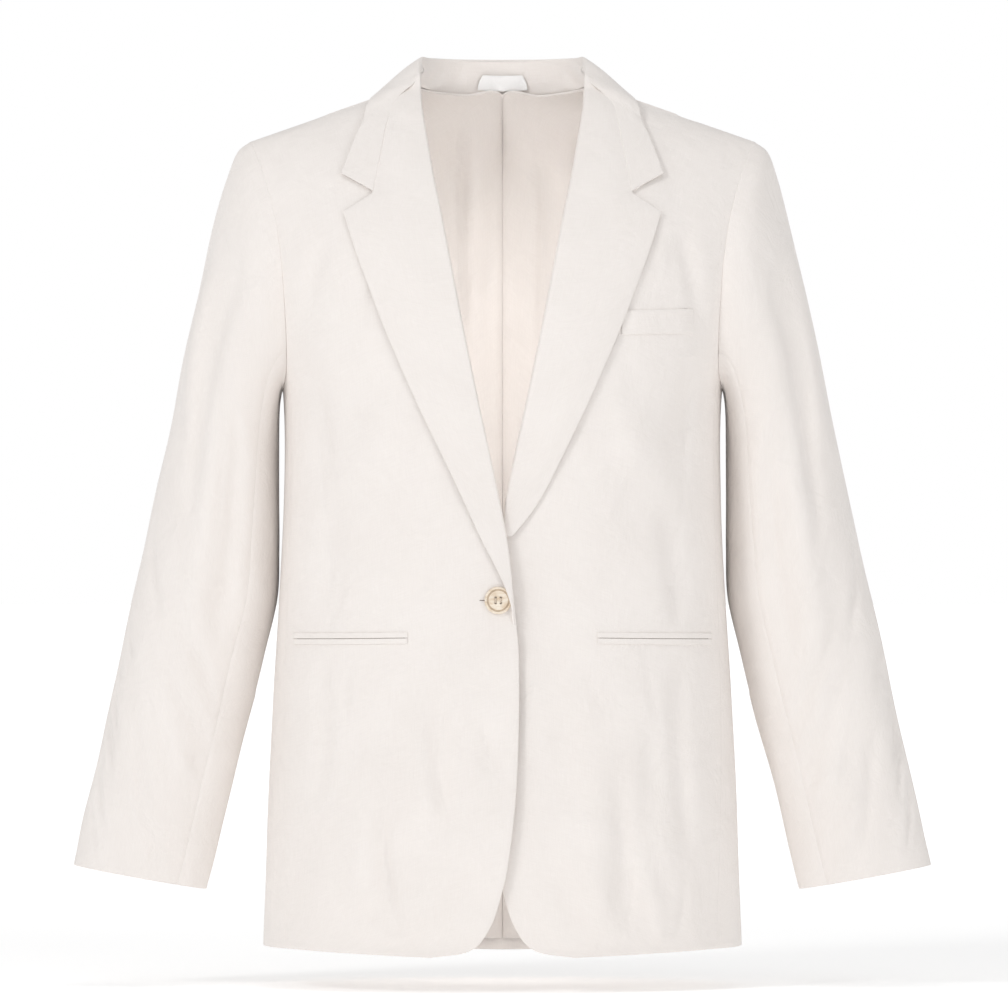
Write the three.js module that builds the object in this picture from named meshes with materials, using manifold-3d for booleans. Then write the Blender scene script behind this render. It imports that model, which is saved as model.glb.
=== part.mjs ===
// A single breasted blazer, filled out as if worn, as closed cloth walls in millimetres.
// +Z is up, the fronts face -Y and the wearer's left is +X. The origin is the middle of the neck base,
// between the two shoulder seams. "Lateral" below is the distance from the centre line on a piece's own side.
import * as THREE from 'three';
import Module from 'manifold-3d';

const wasm = await Module();
wasm.setup();

// ---- driving dimensions ----
const CLOTH = 1.6; // panel cloth with its interlining
const LINING = 1.0;
const COLLAR_CLOTH = 2.2; // top collar and under collar together
const SEAM_GAP = 0.3;
const SHARPNESS = 2.4; // exponent of the torso's rounded section

const NECK = { lateral: 75, z: 12 }; // where the shoulder seam meets the collar
const SHOULDER_SLOPE = 0.342;
const SHOULDER_ROUNDING = { front: 150, back: 110 }; // height over which the shoulder rounds to full depth

// The right front laps over the left one near the centre line, below the lapels' break.
const LAP = { within: 80, fade: 65, startZ: -190, fullZ: -330, right: 0.6, left: -6.8 };

const BUTTON = { x: -3.5, z: -424, radius: 11.5, thickness: 2.6 };
const BUTTON_FACE = { rim: 2.2, chamfer: 1, rimRound: 0.8, dish: 0.7 };
const BUTTON_HOLES = { radius: 1.1, spacing: 4.4 };
const BUTTON_SEGMENTS = { body: 36, hole: 10 };
const LOWER_POCKET = { from: 79.5, to: 176, z: -455.5, drop: 1.5, jetHeight: 4.2, jetThickness: 1.2 };
const BREAST_WELT = { from: 100, to: 161, topZ: -181.5, drop: 2, height: 20, thickness: 1.0 };
const POCKET_COLUMNS = 12;
// The label's foot and head are shares of the stand's height.
const LABEL = { width: 43, topWidth: 32, foot: 0.03, head: 0.5, thickness: 1.0, columns: 8 };

// Half width, and depth in front of and behind the shoulder line, at each height. Above the underarm the
// width is that of the whole form with its arms, which the armhole then cuts.
const TORSO = [
  { z: 40, width: 256, front: 58, back: 88 },
  { z: 0, width: 254, front: 68, back: 95 },
  { z: -40, width: 250, front: 82, back: 108 },
  { z: -74, width: 240, front: 95, back: 113 },
  { z: -124, width: 222, front: 112, back: 119 },
  { z: -168, width: 206, front: 124, back: 122 },
  { z: -208, width: 196, front: 130, back: 123 },
  { z: -246, width: 187, front: 133, back: 124 },
  { z: -340, width: 186, front: 132, back: 122 },
  { z: -425, width: 190, front: 133, back: 124 },
  { z: -510, width: 195, front: 136, back: 128 },
  { z: -595, width: 199, front: 140, back: 133 },
  { z: -680, width: 202, front: 143, back: 137 },
  { z: -730, width: 204, front: 144, back: 139 },
];

// The armhole, from the shoulder tip down to the under-arm seams, then to the underarm's lowest point.
const ARMHOLE_UPPER = [
  { z: -35.5, front: 214, back: 214 },
  { z: -48, front: 208, back: 208 },
  { z: -72, front: 199.5, back: 200.5 },
  { z: -104, front: 191.5, back: 193.5 },
  { z: -137, front: 186.5, back: 188.5 },
  { z: -168, front: 184, back: 185.5 },
  { z: -195, front: 182.5, back: 183.5 },
  { z: -216, front: 182, back: 182.5 },
];
const ARMHOLE_LOWER = [
  { z: -232, depth: 47 },
  { z: -242, depth: 33 },
  { z: -246, depth: 0 },
];

// Depth of the seams between the side panel and the front and back.
const SIDE_SEAMS = [
  { z: -232, front: 47, back: 47 },
  { z: -455, front: 52, back: 62 },
  { z: -720, front: 82, back: 84 },
];

// The front's rows: its free edge (roll line, front edge, then round corner) and the height at its side.
// The first nine rows end on the armhole, whose heights are above.
const FRONT_ROWS = [
  { edge: 75, edgeZ: 12 },
  { edge: 69.5, edgeZ: -12 },
  { edge: 64, edgeZ: -36 },
  { edge: 58, edgeZ: -62 },
  { edge: 51.5, edgeZ: -92 },
  { edge: 45, edgeZ: -126 },
  { edge: 38.5, edgeZ: -160 },
  { edge: 33, edgeZ: -190 },
  { edge: 27.5, edgeZ: -218 },
  { edge: 17, edgeZ: -268, sideZ: -275 },
  { edge: 5.5, edgeZ: -323, sideZ: -325 },
  { edge: -4.7, edgeZ: -377, sideZ: -378 },
  { edge: -9, edgeZ: -424, sideZ: -425 },
  { edge: -13, edgeZ: -470, sideZ: -470 },
  { edge: -13, edgeZ: -530, sideZ: -525 },
  { edge: -10.4, edgeZ: -591, sideZ: -580 },
  { edge: -4.6, edgeZ: -641, sideZ: -625 },
  { edge: 0.4, edgeZ: -666, sideZ: -655 },
  { edge: 10.4, edgeZ: -696, sideZ: -680 },
  { edge: 27, edgeZ: -716, sideZ: -702 },
  { edge: 60, edgeZ: -722, sideZ: -717 },
];
const FRONT_COLUMNS = 10;
const ROW_SPREAD = THREE.MathUtils.degToRad(78); // how strongly a row's points close up towards the side

// The back's rows: the neck line, then the centre seam.
const BACK_ROWS = [
  { edge: 75, edgeZ: 12 },
  { edge: 58, edgeZ: 9 },
  { edge: 32, edgeZ: 7 },
  { edge: 0, edgeZ: 6 },
  { edge: 0, edgeZ: -50 },
  { edge: 0, edgeZ: -100 },
  { edge: 0, edgeZ: -145 },
  { edge: 0, edgeZ: -185 },
  { edge: 0, edgeZ: -225 },
  { edge: 0, edgeZ: -270, sideZ: -275 },
  { edge: 0, edgeZ: -325, sideZ: -325 },
  { edge: 0, edgeZ: -378, sideZ: -378 },
  { edge: 0, edgeZ: -425, sideZ: -425 },
  { edge: 0, edgeZ: -470, sideZ: -470 },
  { edge: 0, edgeZ: -528, sideZ: -525 },
  { edge: 0, edgeZ: -585, sideZ: -580 },
  { edge: 0, edgeZ: -633, sideZ: -625 },
  { edge: 0, edgeZ: -664, sideZ: -655 },
  { edge: 0, edgeZ: -690, sideZ: -680 },
  { edge: 0, edgeZ: -712, sideZ: -702 },
  { edge: 0, edgeZ: -728, sideZ: -717 },
];
const BACK_COLUMNS = 7;
const TURNUP_ROWS = 1; // rows of the back that its turned-up hem covers on the inside

// The sleeve's rings: outermost and innermost point seen from the front, half depth, how far the ring lies
// behind the shoulder line, and how much of it still follows the armhole.
const SLEEVE_RINGS = [
  { outer: 214.5, outerZ: -35.5, inner: 187.4, innerZ: -246, half: 62, back: 0, follow: 1 },
  { outer: 226, outerZ: -45, inner: 188.6, innerZ: -248, half: 66, back: 1, follow: 0.88 },
  { outer: 234, outerZ: -66, inner: 189.6, innerZ: -254, half: 70, back: 3, follow: 0.66 },
  { outer: 243.5, outerZ: -101, inner: 190, innerZ: -265, half: 72, back: 5, follow: 0.38 },
  { outer: 255, outerZ: -148, inner: 190, innerZ: -283, half: 71, back: 7, follow: 0.14 },
  { outer: 267, outerZ: -203, inner: 190, innerZ: -308, half: 69, back: 9, follow: 0 },
  { outer: 281, outerZ: -268, inner: 190, innerZ: -342, half: 65, back: 9, follow: 0 },
  { outer: 296, outerZ: -340, inner: 190, innerZ: -382, half: 60, back: 8, follow: 0 },
  { outer: 309, outerZ: -400, inner: 191.5, innerZ: -424, half: 54, back: 5, follow: 0 },
  { outer: 321, outerZ: -453, inner: 202, innerZ: -470, half: 49, back: 1, follow: 0 },
  { outer: 333, outerZ: -508, inner: 215, innerZ: -524, half: 45, back: -5, follow: 0 },
  { outer: 346, outerZ: -568, inner: 230, innerZ: -584, half: 40, back: -12, follow: 0 },
  { outer: 356, outerZ: -612, inner: 241, innerZ: -630, half: 36, back: -18, follow: 0 },
  { outer: 363.5, outerZ: -648.5, inner: 251, innerZ: -669, half: 33, back: -23, follow: 0 },
];
const RING_POINTS = 20;
const SLEEVE_SEAM_FRONT = 7; // ring point numbers, counted from the shoulder tip towards the front
const SLEEVE_SEAM_BACK = 13;
const SLEEVE_CLEARANCE = 1.4 * SEAM_GAP; // from the armhole's edge out to the sleeve's

// The lapel's rows: its roll line, then its outer edge (gorge seam, notch, corner, free edge). The right
// one's lower end is raised to pass over the button's rim.
const LAPEL_RIGHT_ROWS = [
  { roll: 70, rollZ: 9, edge: 73.5, edgeZ: 8 },
  { roll: 67.5, rollZ: -8, edge: 87, edgeZ: -2 },
  { roll: 64, rollZ: -30, edge: 96, edgeZ: -26 },
  { roll: 60, rollZ: -54, edge: 101, edgeZ: -55 },
  { roll: 55.5, rollZ: -78, edge: 106.5, edgeZ: -84 },
  { roll: 51, rollZ: -99, edge: 132.5, edgeZ: -99 },
  { roll: 45.5, rollZ: -128, edge: 122, edgeZ: -132 },
  { roll: 39, rollZ: -162, edge: 110, edgeZ: -164 },
  { roll: 32.5, rollZ: -196, edge: 97, edgeZ: -198 },
  { roll: 20, rollZ: -257, edge: 70, edgeZ: -260 },
  { roll: 6, rollZ: -322, edge: 38.5, edgeZ: -326 },
  { roll: -3.5, rollZ: -370, edge: 18, edgeZ: -371 },
  { roll: -7.5, rollZ: -402, edge: 2, edgeZ: -405, raise: 1.6 },
  { roll: -9.2, rollZ: -428, edge: -6.8, edgeZ: -430, raise: 2.6 },
];
const LAPEL_LEFT_ROWS = [
  ...LAPEL_RIGHT_ROWS.slice(0, 11),
  { roll: 1, rollZ: -350, edge: 24, edgeZ: -350 },
  { roll: -1, rollZ: -370, edge: 8, edgeZ: -370 },
];
const LAPEL_COLUMNS = 5;
const LAPEL_FULL_WIDTH = 60; // a lapel this wide has its whole swell
const LAPEL_LIFT = { roll: 3.4, swell: 2.2, edge: 3.6 }; // outer face above the front's outer face

// The collar from the centre back to its front end: the rolled top edge (then the gorge seam) and the free
// edge. Depths are given where the collar stands clear of the shoulders.
const COLLAR_ROWS = [
  { inner: 0, innerY: 62, innerZ: 38, edge: 0, edgeY: 86, edgeZ: -8 },
  { inner: 38, innerY: 55, innerZ: 38, edge: 52, edgeY: 80, edgeZ: -8 },
  { inner: 61, innerY: 35, innerZ: 38, edge: 90, edgeY: 55, edgeZ: -3 },
  { inner: 69, innerY: 10, innerZ: 36.5, edge: 105.5, edgeY: 17, edgeZ: 5 },
  { inner: 71.5, innerY: -14, innerZ: 18, edge: 113.5, edgeY: -19, edgeZ: -1.5 },
  { inner: 86.8, innerY: -27, innerZ: 2, edge: 118, edgeY: -38, edgeZ: -19 },
  { inner: 96.2, innerZ: -24, edge: 123, edgeZ: -35 },
  { inner: 101.5, innerZ: -53, edge: 129, edgeZ: -51 },
  { inner: 107, innerZ: -81.5, edge: 134.5, edgeZ: -66 },
];
const COLLAR_COLUMNS = 4;
const COLLAR_LIFT = 4.2;
const COLLAR_BULGE = 0.5; // how squarely the collar turns over its top edge
const COLLAR_TURN = { fromZ: -25, height: 45, share: 0.9 }; // how much of the turn is left at each height

// The collar stand, from the centre back to its front end: neck seam, then top edge under the roll.
const STAND_ROWS = [
  { seam: 0, seamY: 66.5, seamZ: 6.6, top: 0, topY: 62.3, topZ: 35 },
  { seam: 34, seamY: 58, seamZ: 7.6, top: 38, topY: 55.2, topZ: 35 },
  { seam: 58, seamY: 40, seamZ: 9.8, top: 60.5, topY: 35, topZ: 35 },
  { seam: 71, seamY: 12, seamZ: 13, top: 68, topY: 10, topZ: 33.4 },
  { seam: 73, seamY: 0, seamZ: 13.2, top: 69.5, topY: -2, topZ: 24 },
];
const STAND_COLUMNS = 2;
const STAND_STEPS = 20;

// ---- the torso's surface ----

// A smooth curve through a table's column, by height or by row number.
function column(rows, key, name) {
  const last = rows.length - 1;
  return (at) => {
    let i = 0;
    const rising = rows[last][key] > rows[0][key];
    while (i < last - 1 && (rising ? at > rows[i + 1][key] : at < rows[i + 1][key])) i += 1;
    const [a, b] = [rows[i], rows[i + 1]];
    const before = rows[Math.max(i - 1, 0)];
    const after = rows[Math.min(i + 2, last)];
    const span = b[key] - a[key];
    const t = THREE.MathUtils.clamp((at - a[key]) / span, 0, 1);
    const slopeA = ((b[name] - before[name]) / (b[key] - before[key])) * span;
    const slopeB = ((after[name] - a[name]) / (after[key] - a[key])) * span;
    const rise = b[name] - a[name];
    return a[name] + t * (slopeA + t * (3 * rise - 2 * slopeA - slopeB + t * (slopeA + slopeB - 2 * rise)));
  };
}

const torsoWidth = column(TORSO, 'z', 'width');
const torsoDepth = { front: column(TORSO, 'z', 'front'), back: column(TORSO, 'z', 'back') };
const seamDepth = { front: column(SIDE_SEAMS, 'z', 'front'), back: column(SIDE_SEAMS, 'z', 'back') };

function shoulderHeight(lateral) {
  return NECK.z - SHOULDER_SLOPE * (Math.abs(lateral) - NECK.lateral);
}

// How far below the shoulder a point is, from 0 at the seam to 1 where the form has its full depth.
function belowShoulder(lateral, z, face) {
  return THREE.MathUtils.clamp((shoulderHeight(lateral) - z) / SHOULDER_ROUNDING[face], 0, 1);
}

function sectionShare(share) {
  return Math.max(1 - Math.abs(share) ** SHARPNESS, 0) ** (1 / SHARPNESS);
}

// Depth of the surface at a lateral distance and a height, always positive.
function depthAt(lateral, z, face) {
  const rounding = Math.sqrt(1 - (1 - belowShoulder(lateral, z, face)) ** 2);
  return torsoDepth[face](z) * sectionShare(lateral / torsoWidth(z)) * rounding;
}

// Zero on the surface and positive outside it. Its slope gives the normal.
function outside(lateral, depth, z, face) {
  const below = belowShoulder(lateral, z, face);
  const width = torsoWidth(z);
  if (below < 1) {
    const reach = torsoDepth[face](z) * sectionShare(lateral / width);
    return (depth / reach) ** 2 + (1 - below) ** 2 - 1;
  }
  return Math.abs(lateral / width) ** SHARPNESS + Math.abs(depth / torsoDepth[face](z)) ** SHARPNESS - 1;
}

const facing = (face) => (face === 'front' ? -1 : 1);

// A point on the surface with its normal, on the wearer's right (side -1) or left (side 1).
function surfaceSpot(side, lateral, depth, z, face) {
  const step = 0.05;
  const slope = (a, b) => outside(...a, face) - outside(...b, face);
  const normal = new THREE.Vector3(
    slope([lateral + step, depth, z], [lateral - step, depth, z]) * side,
    slope([lateral, depth + step, z], [lateral, depth - step, z]) * facing(face),
    slope([lateral, depth, z + step], [lateral, depth, z - step]),
  ).normalize();
  return { point: new THREE.Vector3(side * lateral, facing(face) * depth, z), normal };
}

// The same from a lateral distance and a height.
function spotFromFront(side, lateral, z, face) {
  return surfaceSpot(side, lateral, depthAt(lateral, z, face), z, face);
}

// The same from a depth and a height, for the sides below the armhole.
function spotFromSide(side, depth, z, face) {
  return surfaceSpot(side, torsoWidth(z) * sectionShare(depth / torsoDepth[face](z)), depth, z, face);
}

function lifted({ point, normal }, height) {
  return { point: point.clone().addScaledVector(normal, height), normal };
}

// ---- the armhole, as a ring of points from the shoulder tip over the front, underarm and back ----
function armholeSpot(side, number) {
  const face = number <= RING_POINTS / 2 ? 'front' : 'back';
  const step = number <= RING_POINTS / 2 ? number : RING_POINTS - number;
  if (step < ARMHOLE_UPPER.length) {
    const row = ARMHOLE_UPPER[step];
    return spotFromFront(side, row[face], row.z, face);
  }
  const row = ARMHOLE_LOWER[step - ARMHOLE_UPPER.length];
  return spotFromSide(side, row.depth, row.z, face);
}

// ---- closed walls ----

// Normals of a free grid, by differences. Rows run along the first index.
function withNormals(points, flip) {
  return points.map((row, i) => row.map((point, j) => {
    const along = points[Math.min(i + 1, points.length - 1)][j].clone().sub(points[Math.max(i - 1, 0)][j]);
    const across = row[Math.min(j + 1, row.length - 1)].clone().sub(row[Math.max(j - 1, 0)]);
    return { point, normal: along.cross(across).multiplyScalar(flip).normalize() };
  }));
}

// Draws the named edges of a grid in by half a seam gap, so that neighbours keep the whole gap.
function inset(grid, edges, distance = SEAM_GAP / 2) {
  const rows = grid.length - 1;
  const columns = grid[0].length - 1;
  const pull = (spot, towards) => {
    const shift = towards.point.clone().sub(spot.point).setLength(distance);
    return { point: spot.point.clone().add(shift), normal: spot.normal };
  };
  let result = grid.map((row) => [...row]);
  if (edges.includes('first')) result[0] = result[0].map((spot, j) => pull(spot, grid[1][j]));
  if (edges.includes('last')) result[rows] = result[rows].map((spot, j) => pull(spot, grid[rows - 1][j]));
  if (edges.includes('inner')) result = result.map((row, i) => [pull(row[0], grid[i][1]), ...row.slice(1)]);
  if (edges.includes('outer')) {
    result = result.map((row, i) => [...row.slice(0, -1), pull(row[columns], grid[i][columns - 1])]);
  }
  return result;
}

// A wall: the grid is its outer face, and its inner face is the grid moved in along the normals.
function wall(grid, thickness) {
  const rows = grid.length;
  const columns = grid[0].length;
  const outer = grid.flat().map(({ point }) => point);
  const inner = grid.flat().map(({ point, normal }) => point.clone().addScaledVector(normal, -thickness));
  const at = (i, j) => i * columns + j;
  const under = (i, j) => rows * columns + at(i, j);
  const triangles = [];
  const quad = (a, b, c, d) => triangles.push([a, b, c], [a, c, d]);
  for (let i = 0; i < rows - 1; i += 1) {
    for (let j = 0; j < columns - 1; j += 1) {
      quad(at(i, j), at(i + 1, j), at(i + 1, j + 1), at(i, j + 1));
      quad(under(i, j), under(i, j + 1), under(i + 1, j + 1), under(i + 1, j));
    }
    quad(at(i, 0), under(i, 0), under(i + 1, 0), at(i + 1, 0));
    quad(at(i + 1, columns - 1), under(i + 1, columns - 1), under(i, columns - 1), at(i, columns - 1));
  }
  for (let j = 0; j < columns - 1; j += 1) {
    quad(at(0, j + 1), under(0, j + 1), under(0, j), at(0, j));
    quad(at(rows - 1, j), under(rows - 1, j), under(rows - 1, j + 1), at(rows - 1, j + 1));
  }
  return facesOut([...outer, ...inner], triangles);
}

function facesOut(points, triangles) {
  const volume = triangles.reduce(
    (sum, [a, b, c]) => sum + points[a].dot(points[b].clone().cross(points[c])), 0);
  const ordered = volume < 0 ? triangles.map(([a, b, c]) => [a, c, b]) : triangles;
  const geometry = new THREE.BufferGeometry();
  const numbers = points.flatMap((point) => point.toArray());
  geometry.setAttribute('position', new THREE.Float32BufferAttribute(numbers, 3));
  geometry.setIndex(ordered.flat());
  return geometry;
}

// ---- front, back and side panels ----

// The grid of a front or back: straight rows seen from the front, closer together towards the side.
function panelGrid(side, rows, face, columns) {
  return rows.map((row, i) => {
    const end = row.sideZ === undefined
      ? armholeSpot(side, face === 'front' ? i : RING_POINTS - i)
      : spotFromSide(side, seamDepth[face](row.sideZ), row.sideZ, face);
    return Array.from({ length: columns + 1 }, (_, j) => {
      if (j === columns) return end;
      const share = Math.sin((ROW_SPREAD * j) / columns) / Math.sin(ROW_SPREAD);
      const lateral = THREE.MathUtils.lerp(row.edge, side * end.point.x, share);
      const z = THREE.MathUtils.lerp(row.edgeZ, end.point.z, share);
      return spotFromFront(side, lateral, z, face);
    });
  });
}

// The right front lies over the left one: each side's outer face is moved by this where they meet.
function lapShift(side, lateral, z) {
  const nearEdge = THREE.MathUtils.smoothstep(LAP.within - lateral, 0, LAP.fade);
  const low = THREE.MathUtils.smoothstep(-z, -LAP.startZ, -LAP.fullZ);
  return (side < 0 ? LAP.right : LAP.left) * nearEdge * low;
}

function lapped(side, spot) {
  return lifted(spot, lapShift(side, side * spot.point.x, spot.point.z));
}

function frontGrid(side) {
  const grid = panelGrid(side, FRONT_ROWS, 'front', FRONT_COLUMNS);
  return grid.map((row) => row.map((spot) => lapped(side, spot)));
}

function frontPanel(side) {
  return wall(inset(frontGrid(side), ['first', 'outer']), CLOTH);
}

function backGrid(side) {
  return panelGrid(side, BACK_ROWS, 'back', BACK_COLUMNS);
}

function backPanel(side) {
  return wall(inset(backGrid(side), ['first', 'inner', 'outer']), CLOTH);
}

function sidePanel(side) {
  const columns = 2 * (ARMHOLE_LOWER.length - 1);
  const top = Array.from({ length: columns + 1 }, (_, j) => armholeSpot(side, ARMHOLE_UPPER.length + j));
  const lower = FRONT_ROWS.filter((row) => row.sideZ !== undefined).map(({ sideZ }) => (
    Array.from({ length: columns + 1 }, (_, j) => {
      const depth = THREE.MathUtils.lerp(-seamDepth.front(sideZ), seamDepth.back(sideZ), j / columns);
      return spotFromSide(side, Math.abs(depth), sideZ, depth < 0 ? 'front' : 'back');
    })
  ));
  return wall(inset([top, ...lower], ['inner', 'outer']), CLOTH);
}

// ---- what shows inside: back lining and the turned-up back hem ----
function backLining(side) {
  const rows = backGrid(side).slice(0, -TURNUP_ROWS);
  const grid = rows.map((row) => row.map((spot) => lifted(spot, -CLOTH - 2 * SEAM_GAP)));
  return wall(inset(grid, ['first', 'inner', 'outer', 'last'], 2 * SEAM_GAP), LINING);
}

function hemTurnup(side) {
  const rows = backGrid(side).slice(-TURNUP_ROWS - 1);
  const grid = rows.map((row) => row.map((spot) => lifted(spot, -CLOTH - SEAM_GAP)));
  return wall(inset(grid, ['inner', 'outer', 'first'], SEAM_GAP), LINING);
}

// ---- sleeves ----
function ringPoint(side, ring, number) {
  const angle = (2 * Math.PI * number) / RING_POINTS;
  const oval = ({ outer, outerZ, inner, innerZ, half, back }) => new THREE.Vector3(
    side * ((outer + inner) / 2 + (Math.cos(angle) * (outer - inner)) / 2),
    back - Math.sin(angle) * half,
    (outerZ + innerZ) / 2 + (Math.cos(angle) * (outerZ - innerZ)) / 2,
  );
  const seam = armholeSpot(side, number).point;
  seam.x += side * SLEEVE_CLEARANCE;
  return oval(ring).addScaledVector(seam.sub(oval(SLEEVE_RINGS[0])), ring.follow);
}

// The sleeve's grid between two ring points. At the armhole its wall never turns towards the body.
function sleeveGrid(side, from, to) {
  const numbers = Array.from({ length: to - from + 3 }, (_, k) => (from - 1 + k + RING_POINTS) % RING_POINTS);
  const points = SLEEVE_RINGS.map((ring) => numbers.map((number) => ringPoint(side, ring, number)));
  const grid = withNormals(points, side).map((row) => row.slice(1, -1));
  grid[0] = grid[0].map(({ point, normal }) => {
    const clear = normal.clone();
    clear.x = side * Math.min(side * clear.x, 0);
    return { point, normal: clear.normalize() };
  });
  return grid;
}

function sleeve(side, from, to) {
  return wall(inset(sleeveGrid(side, from, to), ['inner', 'outer']), CLOTH);
}

// ---- lapels and collar ----
function lapelGrid(side, rows) {
  return rows.map(({ roll, rollZ, edge, edgeZ, raise = 0 }) => (
    Array.from({ length: LAPEL_COLUMNS + 1 }, (_, j) => {
      const share = j / LAPEL_COLUMNS;
      const lateral = THREE.MathUtils.lerp(roll, edge, share);
      const z = THREE.MathUtils.lerp(rollZ, edgeZ, share);
      const fullness = Math.min((edge - roll) / LAPEL_FULL_WIDTH, 1);
      const swell = LAPEL_LIFT.swell * Math.sin(Math.PI * share) * fullness;
      const lift = THREE.MathUtils.lerp(LAPEL_LIFT.roll, LAPEL_LIFT.edge, share) + swell + raise;
      return lifted(lapped(side, spotFromFront(side, lateral, z, 'front')), lift);
    })
  ));
}

function lapel(side) {
  return wall(lapelGrid(side, side < 0 ? LAPEL_RIGHT_ROWS : LAPEL_LEFT_ROWS), CLOTH);
}

// One row of the collar fall, turned over its top edge behind the neck and lying on the front before it.
function collarRow(row, side) {
  const end = (lateral, depth, z) => (depth === undefined
    ? lifted(spotFromFront(side, lateral, z, 'front'), COLLAR_LIFT).point
    : new THREE.Vector3(side * lateral, depth, z));
  const inner = end(row.inner, row.innerY, row.innerZ);
  const edge = end(row.edge, row.edgeY, row.edgeZ);
  const over = inner.clone().lerp(edge, COLLAR_BULGE);
  const turned = THREE.MathUtils.clamp((inner.z - COLLAR_TURN.fromZ) / COLLAR_TURN.height, 0, 1);
  over.z = THREE.MathUtils.lerp(over.z, inner.z, turned * COLLAR_TURN.share);
  return Array.from({ length: COLLAR_COLUMNS + 1 }, (_, j) => {
    const share = j / COLLAR_COLUMNS;
    if (row.innerY === undefined) {
      const lateral = THREE.MathUtils.lerp(row.inner, row.edge, share);
      const z = THREE.MathUtils.lerp(row.innerZ, row.edgeZ, share);
      return lifted(spotFromFront(side, lateral, z, 'front'), COLLAR_LIFT).point;
    }
    return new THREE.QuadraticBezierCurve3(inner, over, edge).getPoint(share);
  });
}

function collarFall() {
  const right = COLLAR_ROWS.slice(1).reverse().map((row) => collarRow(row, -1));
  const left = COLLAR_ROWS.map((row) => collarRow(row, 1));
  return wall(withNormals([...right, ...left], -1), COLLAR_CLOTH);
}

// The stand's table for both sides, from the right end to the left end.
const STAND_BOTH = [
  ...STAND_ROWS.slice(1).reverse().map((row) => ({ ...row, seam: -row.seam, top: -row.top })),
  ...STAND_ROWS,
];
const standColumn = Object.fromEntries(
  ['seamY', 'seamZ', 'top', 'topY', 'topZ'].map((name) => [name, column(STAND_BOTH, 'seam', name)]));

// A point of the stand's seen face, from its place along the neck seam and its share of the height.
function standPoint(seam, share) {
  const foot = new THREE.Vector3(seam, standColumn.seamY(seam), standColumn.seamZ(seam));
  const head = new THREE.Vector3(standColumn.top(seam), standColumn.topY(seam), standColumn.topZ(seam));
  return foot.lerp(head, share);
}

function collarStand() {
  const ends = STAND_ROWS.at(-1).seam;
  const grid = Array.from({ length: STAND_STEPS + 1 }, (_, i) => {
    const seam = ends * Math.sin(THREE.MathUtils.lerp(-Math.PI / 2, Math.PI / 2, i / STAND_STEPS));
    return Array.from({ length: STAND_COLUMNS + 1 }, (__, j) => standPoint(seam, j / STAND_COLUMNS));
  });
  return wall(withNormals(grid, 1), CLOTH);
}

// The blank label on the face of the stand that is seen inside the neck, narrower at its top.
function neckLabel() {
  const grid = [0, 1].map((up) => Array.from({ length: LABEL.columns + 1 }, (_, j) => {
    const width = THREE.MathUtils.lerp(LABEL.width, LABEL.topWidth, up);
    return standPoint(width * (j / LABEL.columns - 0.5), THREE.MathUtils.lerp(LABEL.foot, LABEL.head, up));
  }));
  const away = LABEL.thickness + 2 * SEAM_GAP;
  return wall(withNormals(grid, -1).map((row) => row.map((spot) => lifted(spot, away))), LABEL.thickness);
}

// ---- pockets ----

// A strip that lies on the front, given by its ends and its upper edge.
function strip(side, { from, to, z, drop, height, thickness }) {
  const grid = [0, 1].map((down) => Array.from({ length: POCKET_COLUMNS + 1 }, (_, j) => {
    const share = j / POCKET_COLUMNS;
    const lateral = THREE.MathUtils.lerp(from, to, share);
    const spot = spotFromFront(side, lateral, z - drop * share - height * down, 'front');
    return lifted(lapped(side, spot), thickness + SEAM_GAP);
  }));
  return wall(grid, thickness);
}

function pocketJet(side, number) {
  const { from, to, z, drop, jetHeight, jetThickness } = LOWER_POCKET;
  const top = z + jetHeight + SEAM_GAP - number * (jetHeight + 2 * SEAM_GAP);
  return strip(side, { from, to, z: top, drop, height: jetHeight, thickness: jetThickness });
}

function breastWelt() {
  const { from, to, topZ, drop, height, thickness } = BREAST_WELT;
  return strip(1, { from, to, z: topZ, drop: -drop, height, thickness });
}

// ---- button ----
function solid(geometry) {
  const index = Array.from(geometry.index.array);
  const position = Array.from(geometry.attributes.position.array);
  return new wasm.Manifold(new wasm.Mesh({
    numProp: 3,
    vertProperties: new Float32Array(position),
    triVerts: new Uint32Array(index),
  }));
}

// A round solid about its own axis from a closed outline of radius and height.
function turned(outline, around) {
  const points = [];
  const triangles = [];
  const inner = outline.slice(1, -1);
  points.push(new THREE.Vector3(0, 0, outline[0][1]), new THREE.Vector3(0, 0, outline.at(-1)[1]));
  for (let i = 0; i < around; i += 1) {
    const angle = (2 * Math.PI * i) / around;
    inner.forEach(([r, z]) => points.push(new THREE.Vector3(r * Math.cos(angle), r * Math.sin(angle), z)));
  }
  const at = (i, k) => 2 + (i % around) * inner.length + k;
  for (let i = 0; i < around; i += 1) {
    triangles.push([0, at(i + 1, 0), at(i, 0)], [1, at(i, inner.length - 1), at(i + 1, inner.length - 1)]);
    for (let k = 0; k < inner.length - 1; k += 1) {
      triangles.push([at(i, k), at(i + 1, k), at(i + 1, k + 1)], [at(i, k), at(i + 1, k + 1), at(i, k + 1)]);
    }
  }
  return facesOut(points, triangles);
}

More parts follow.
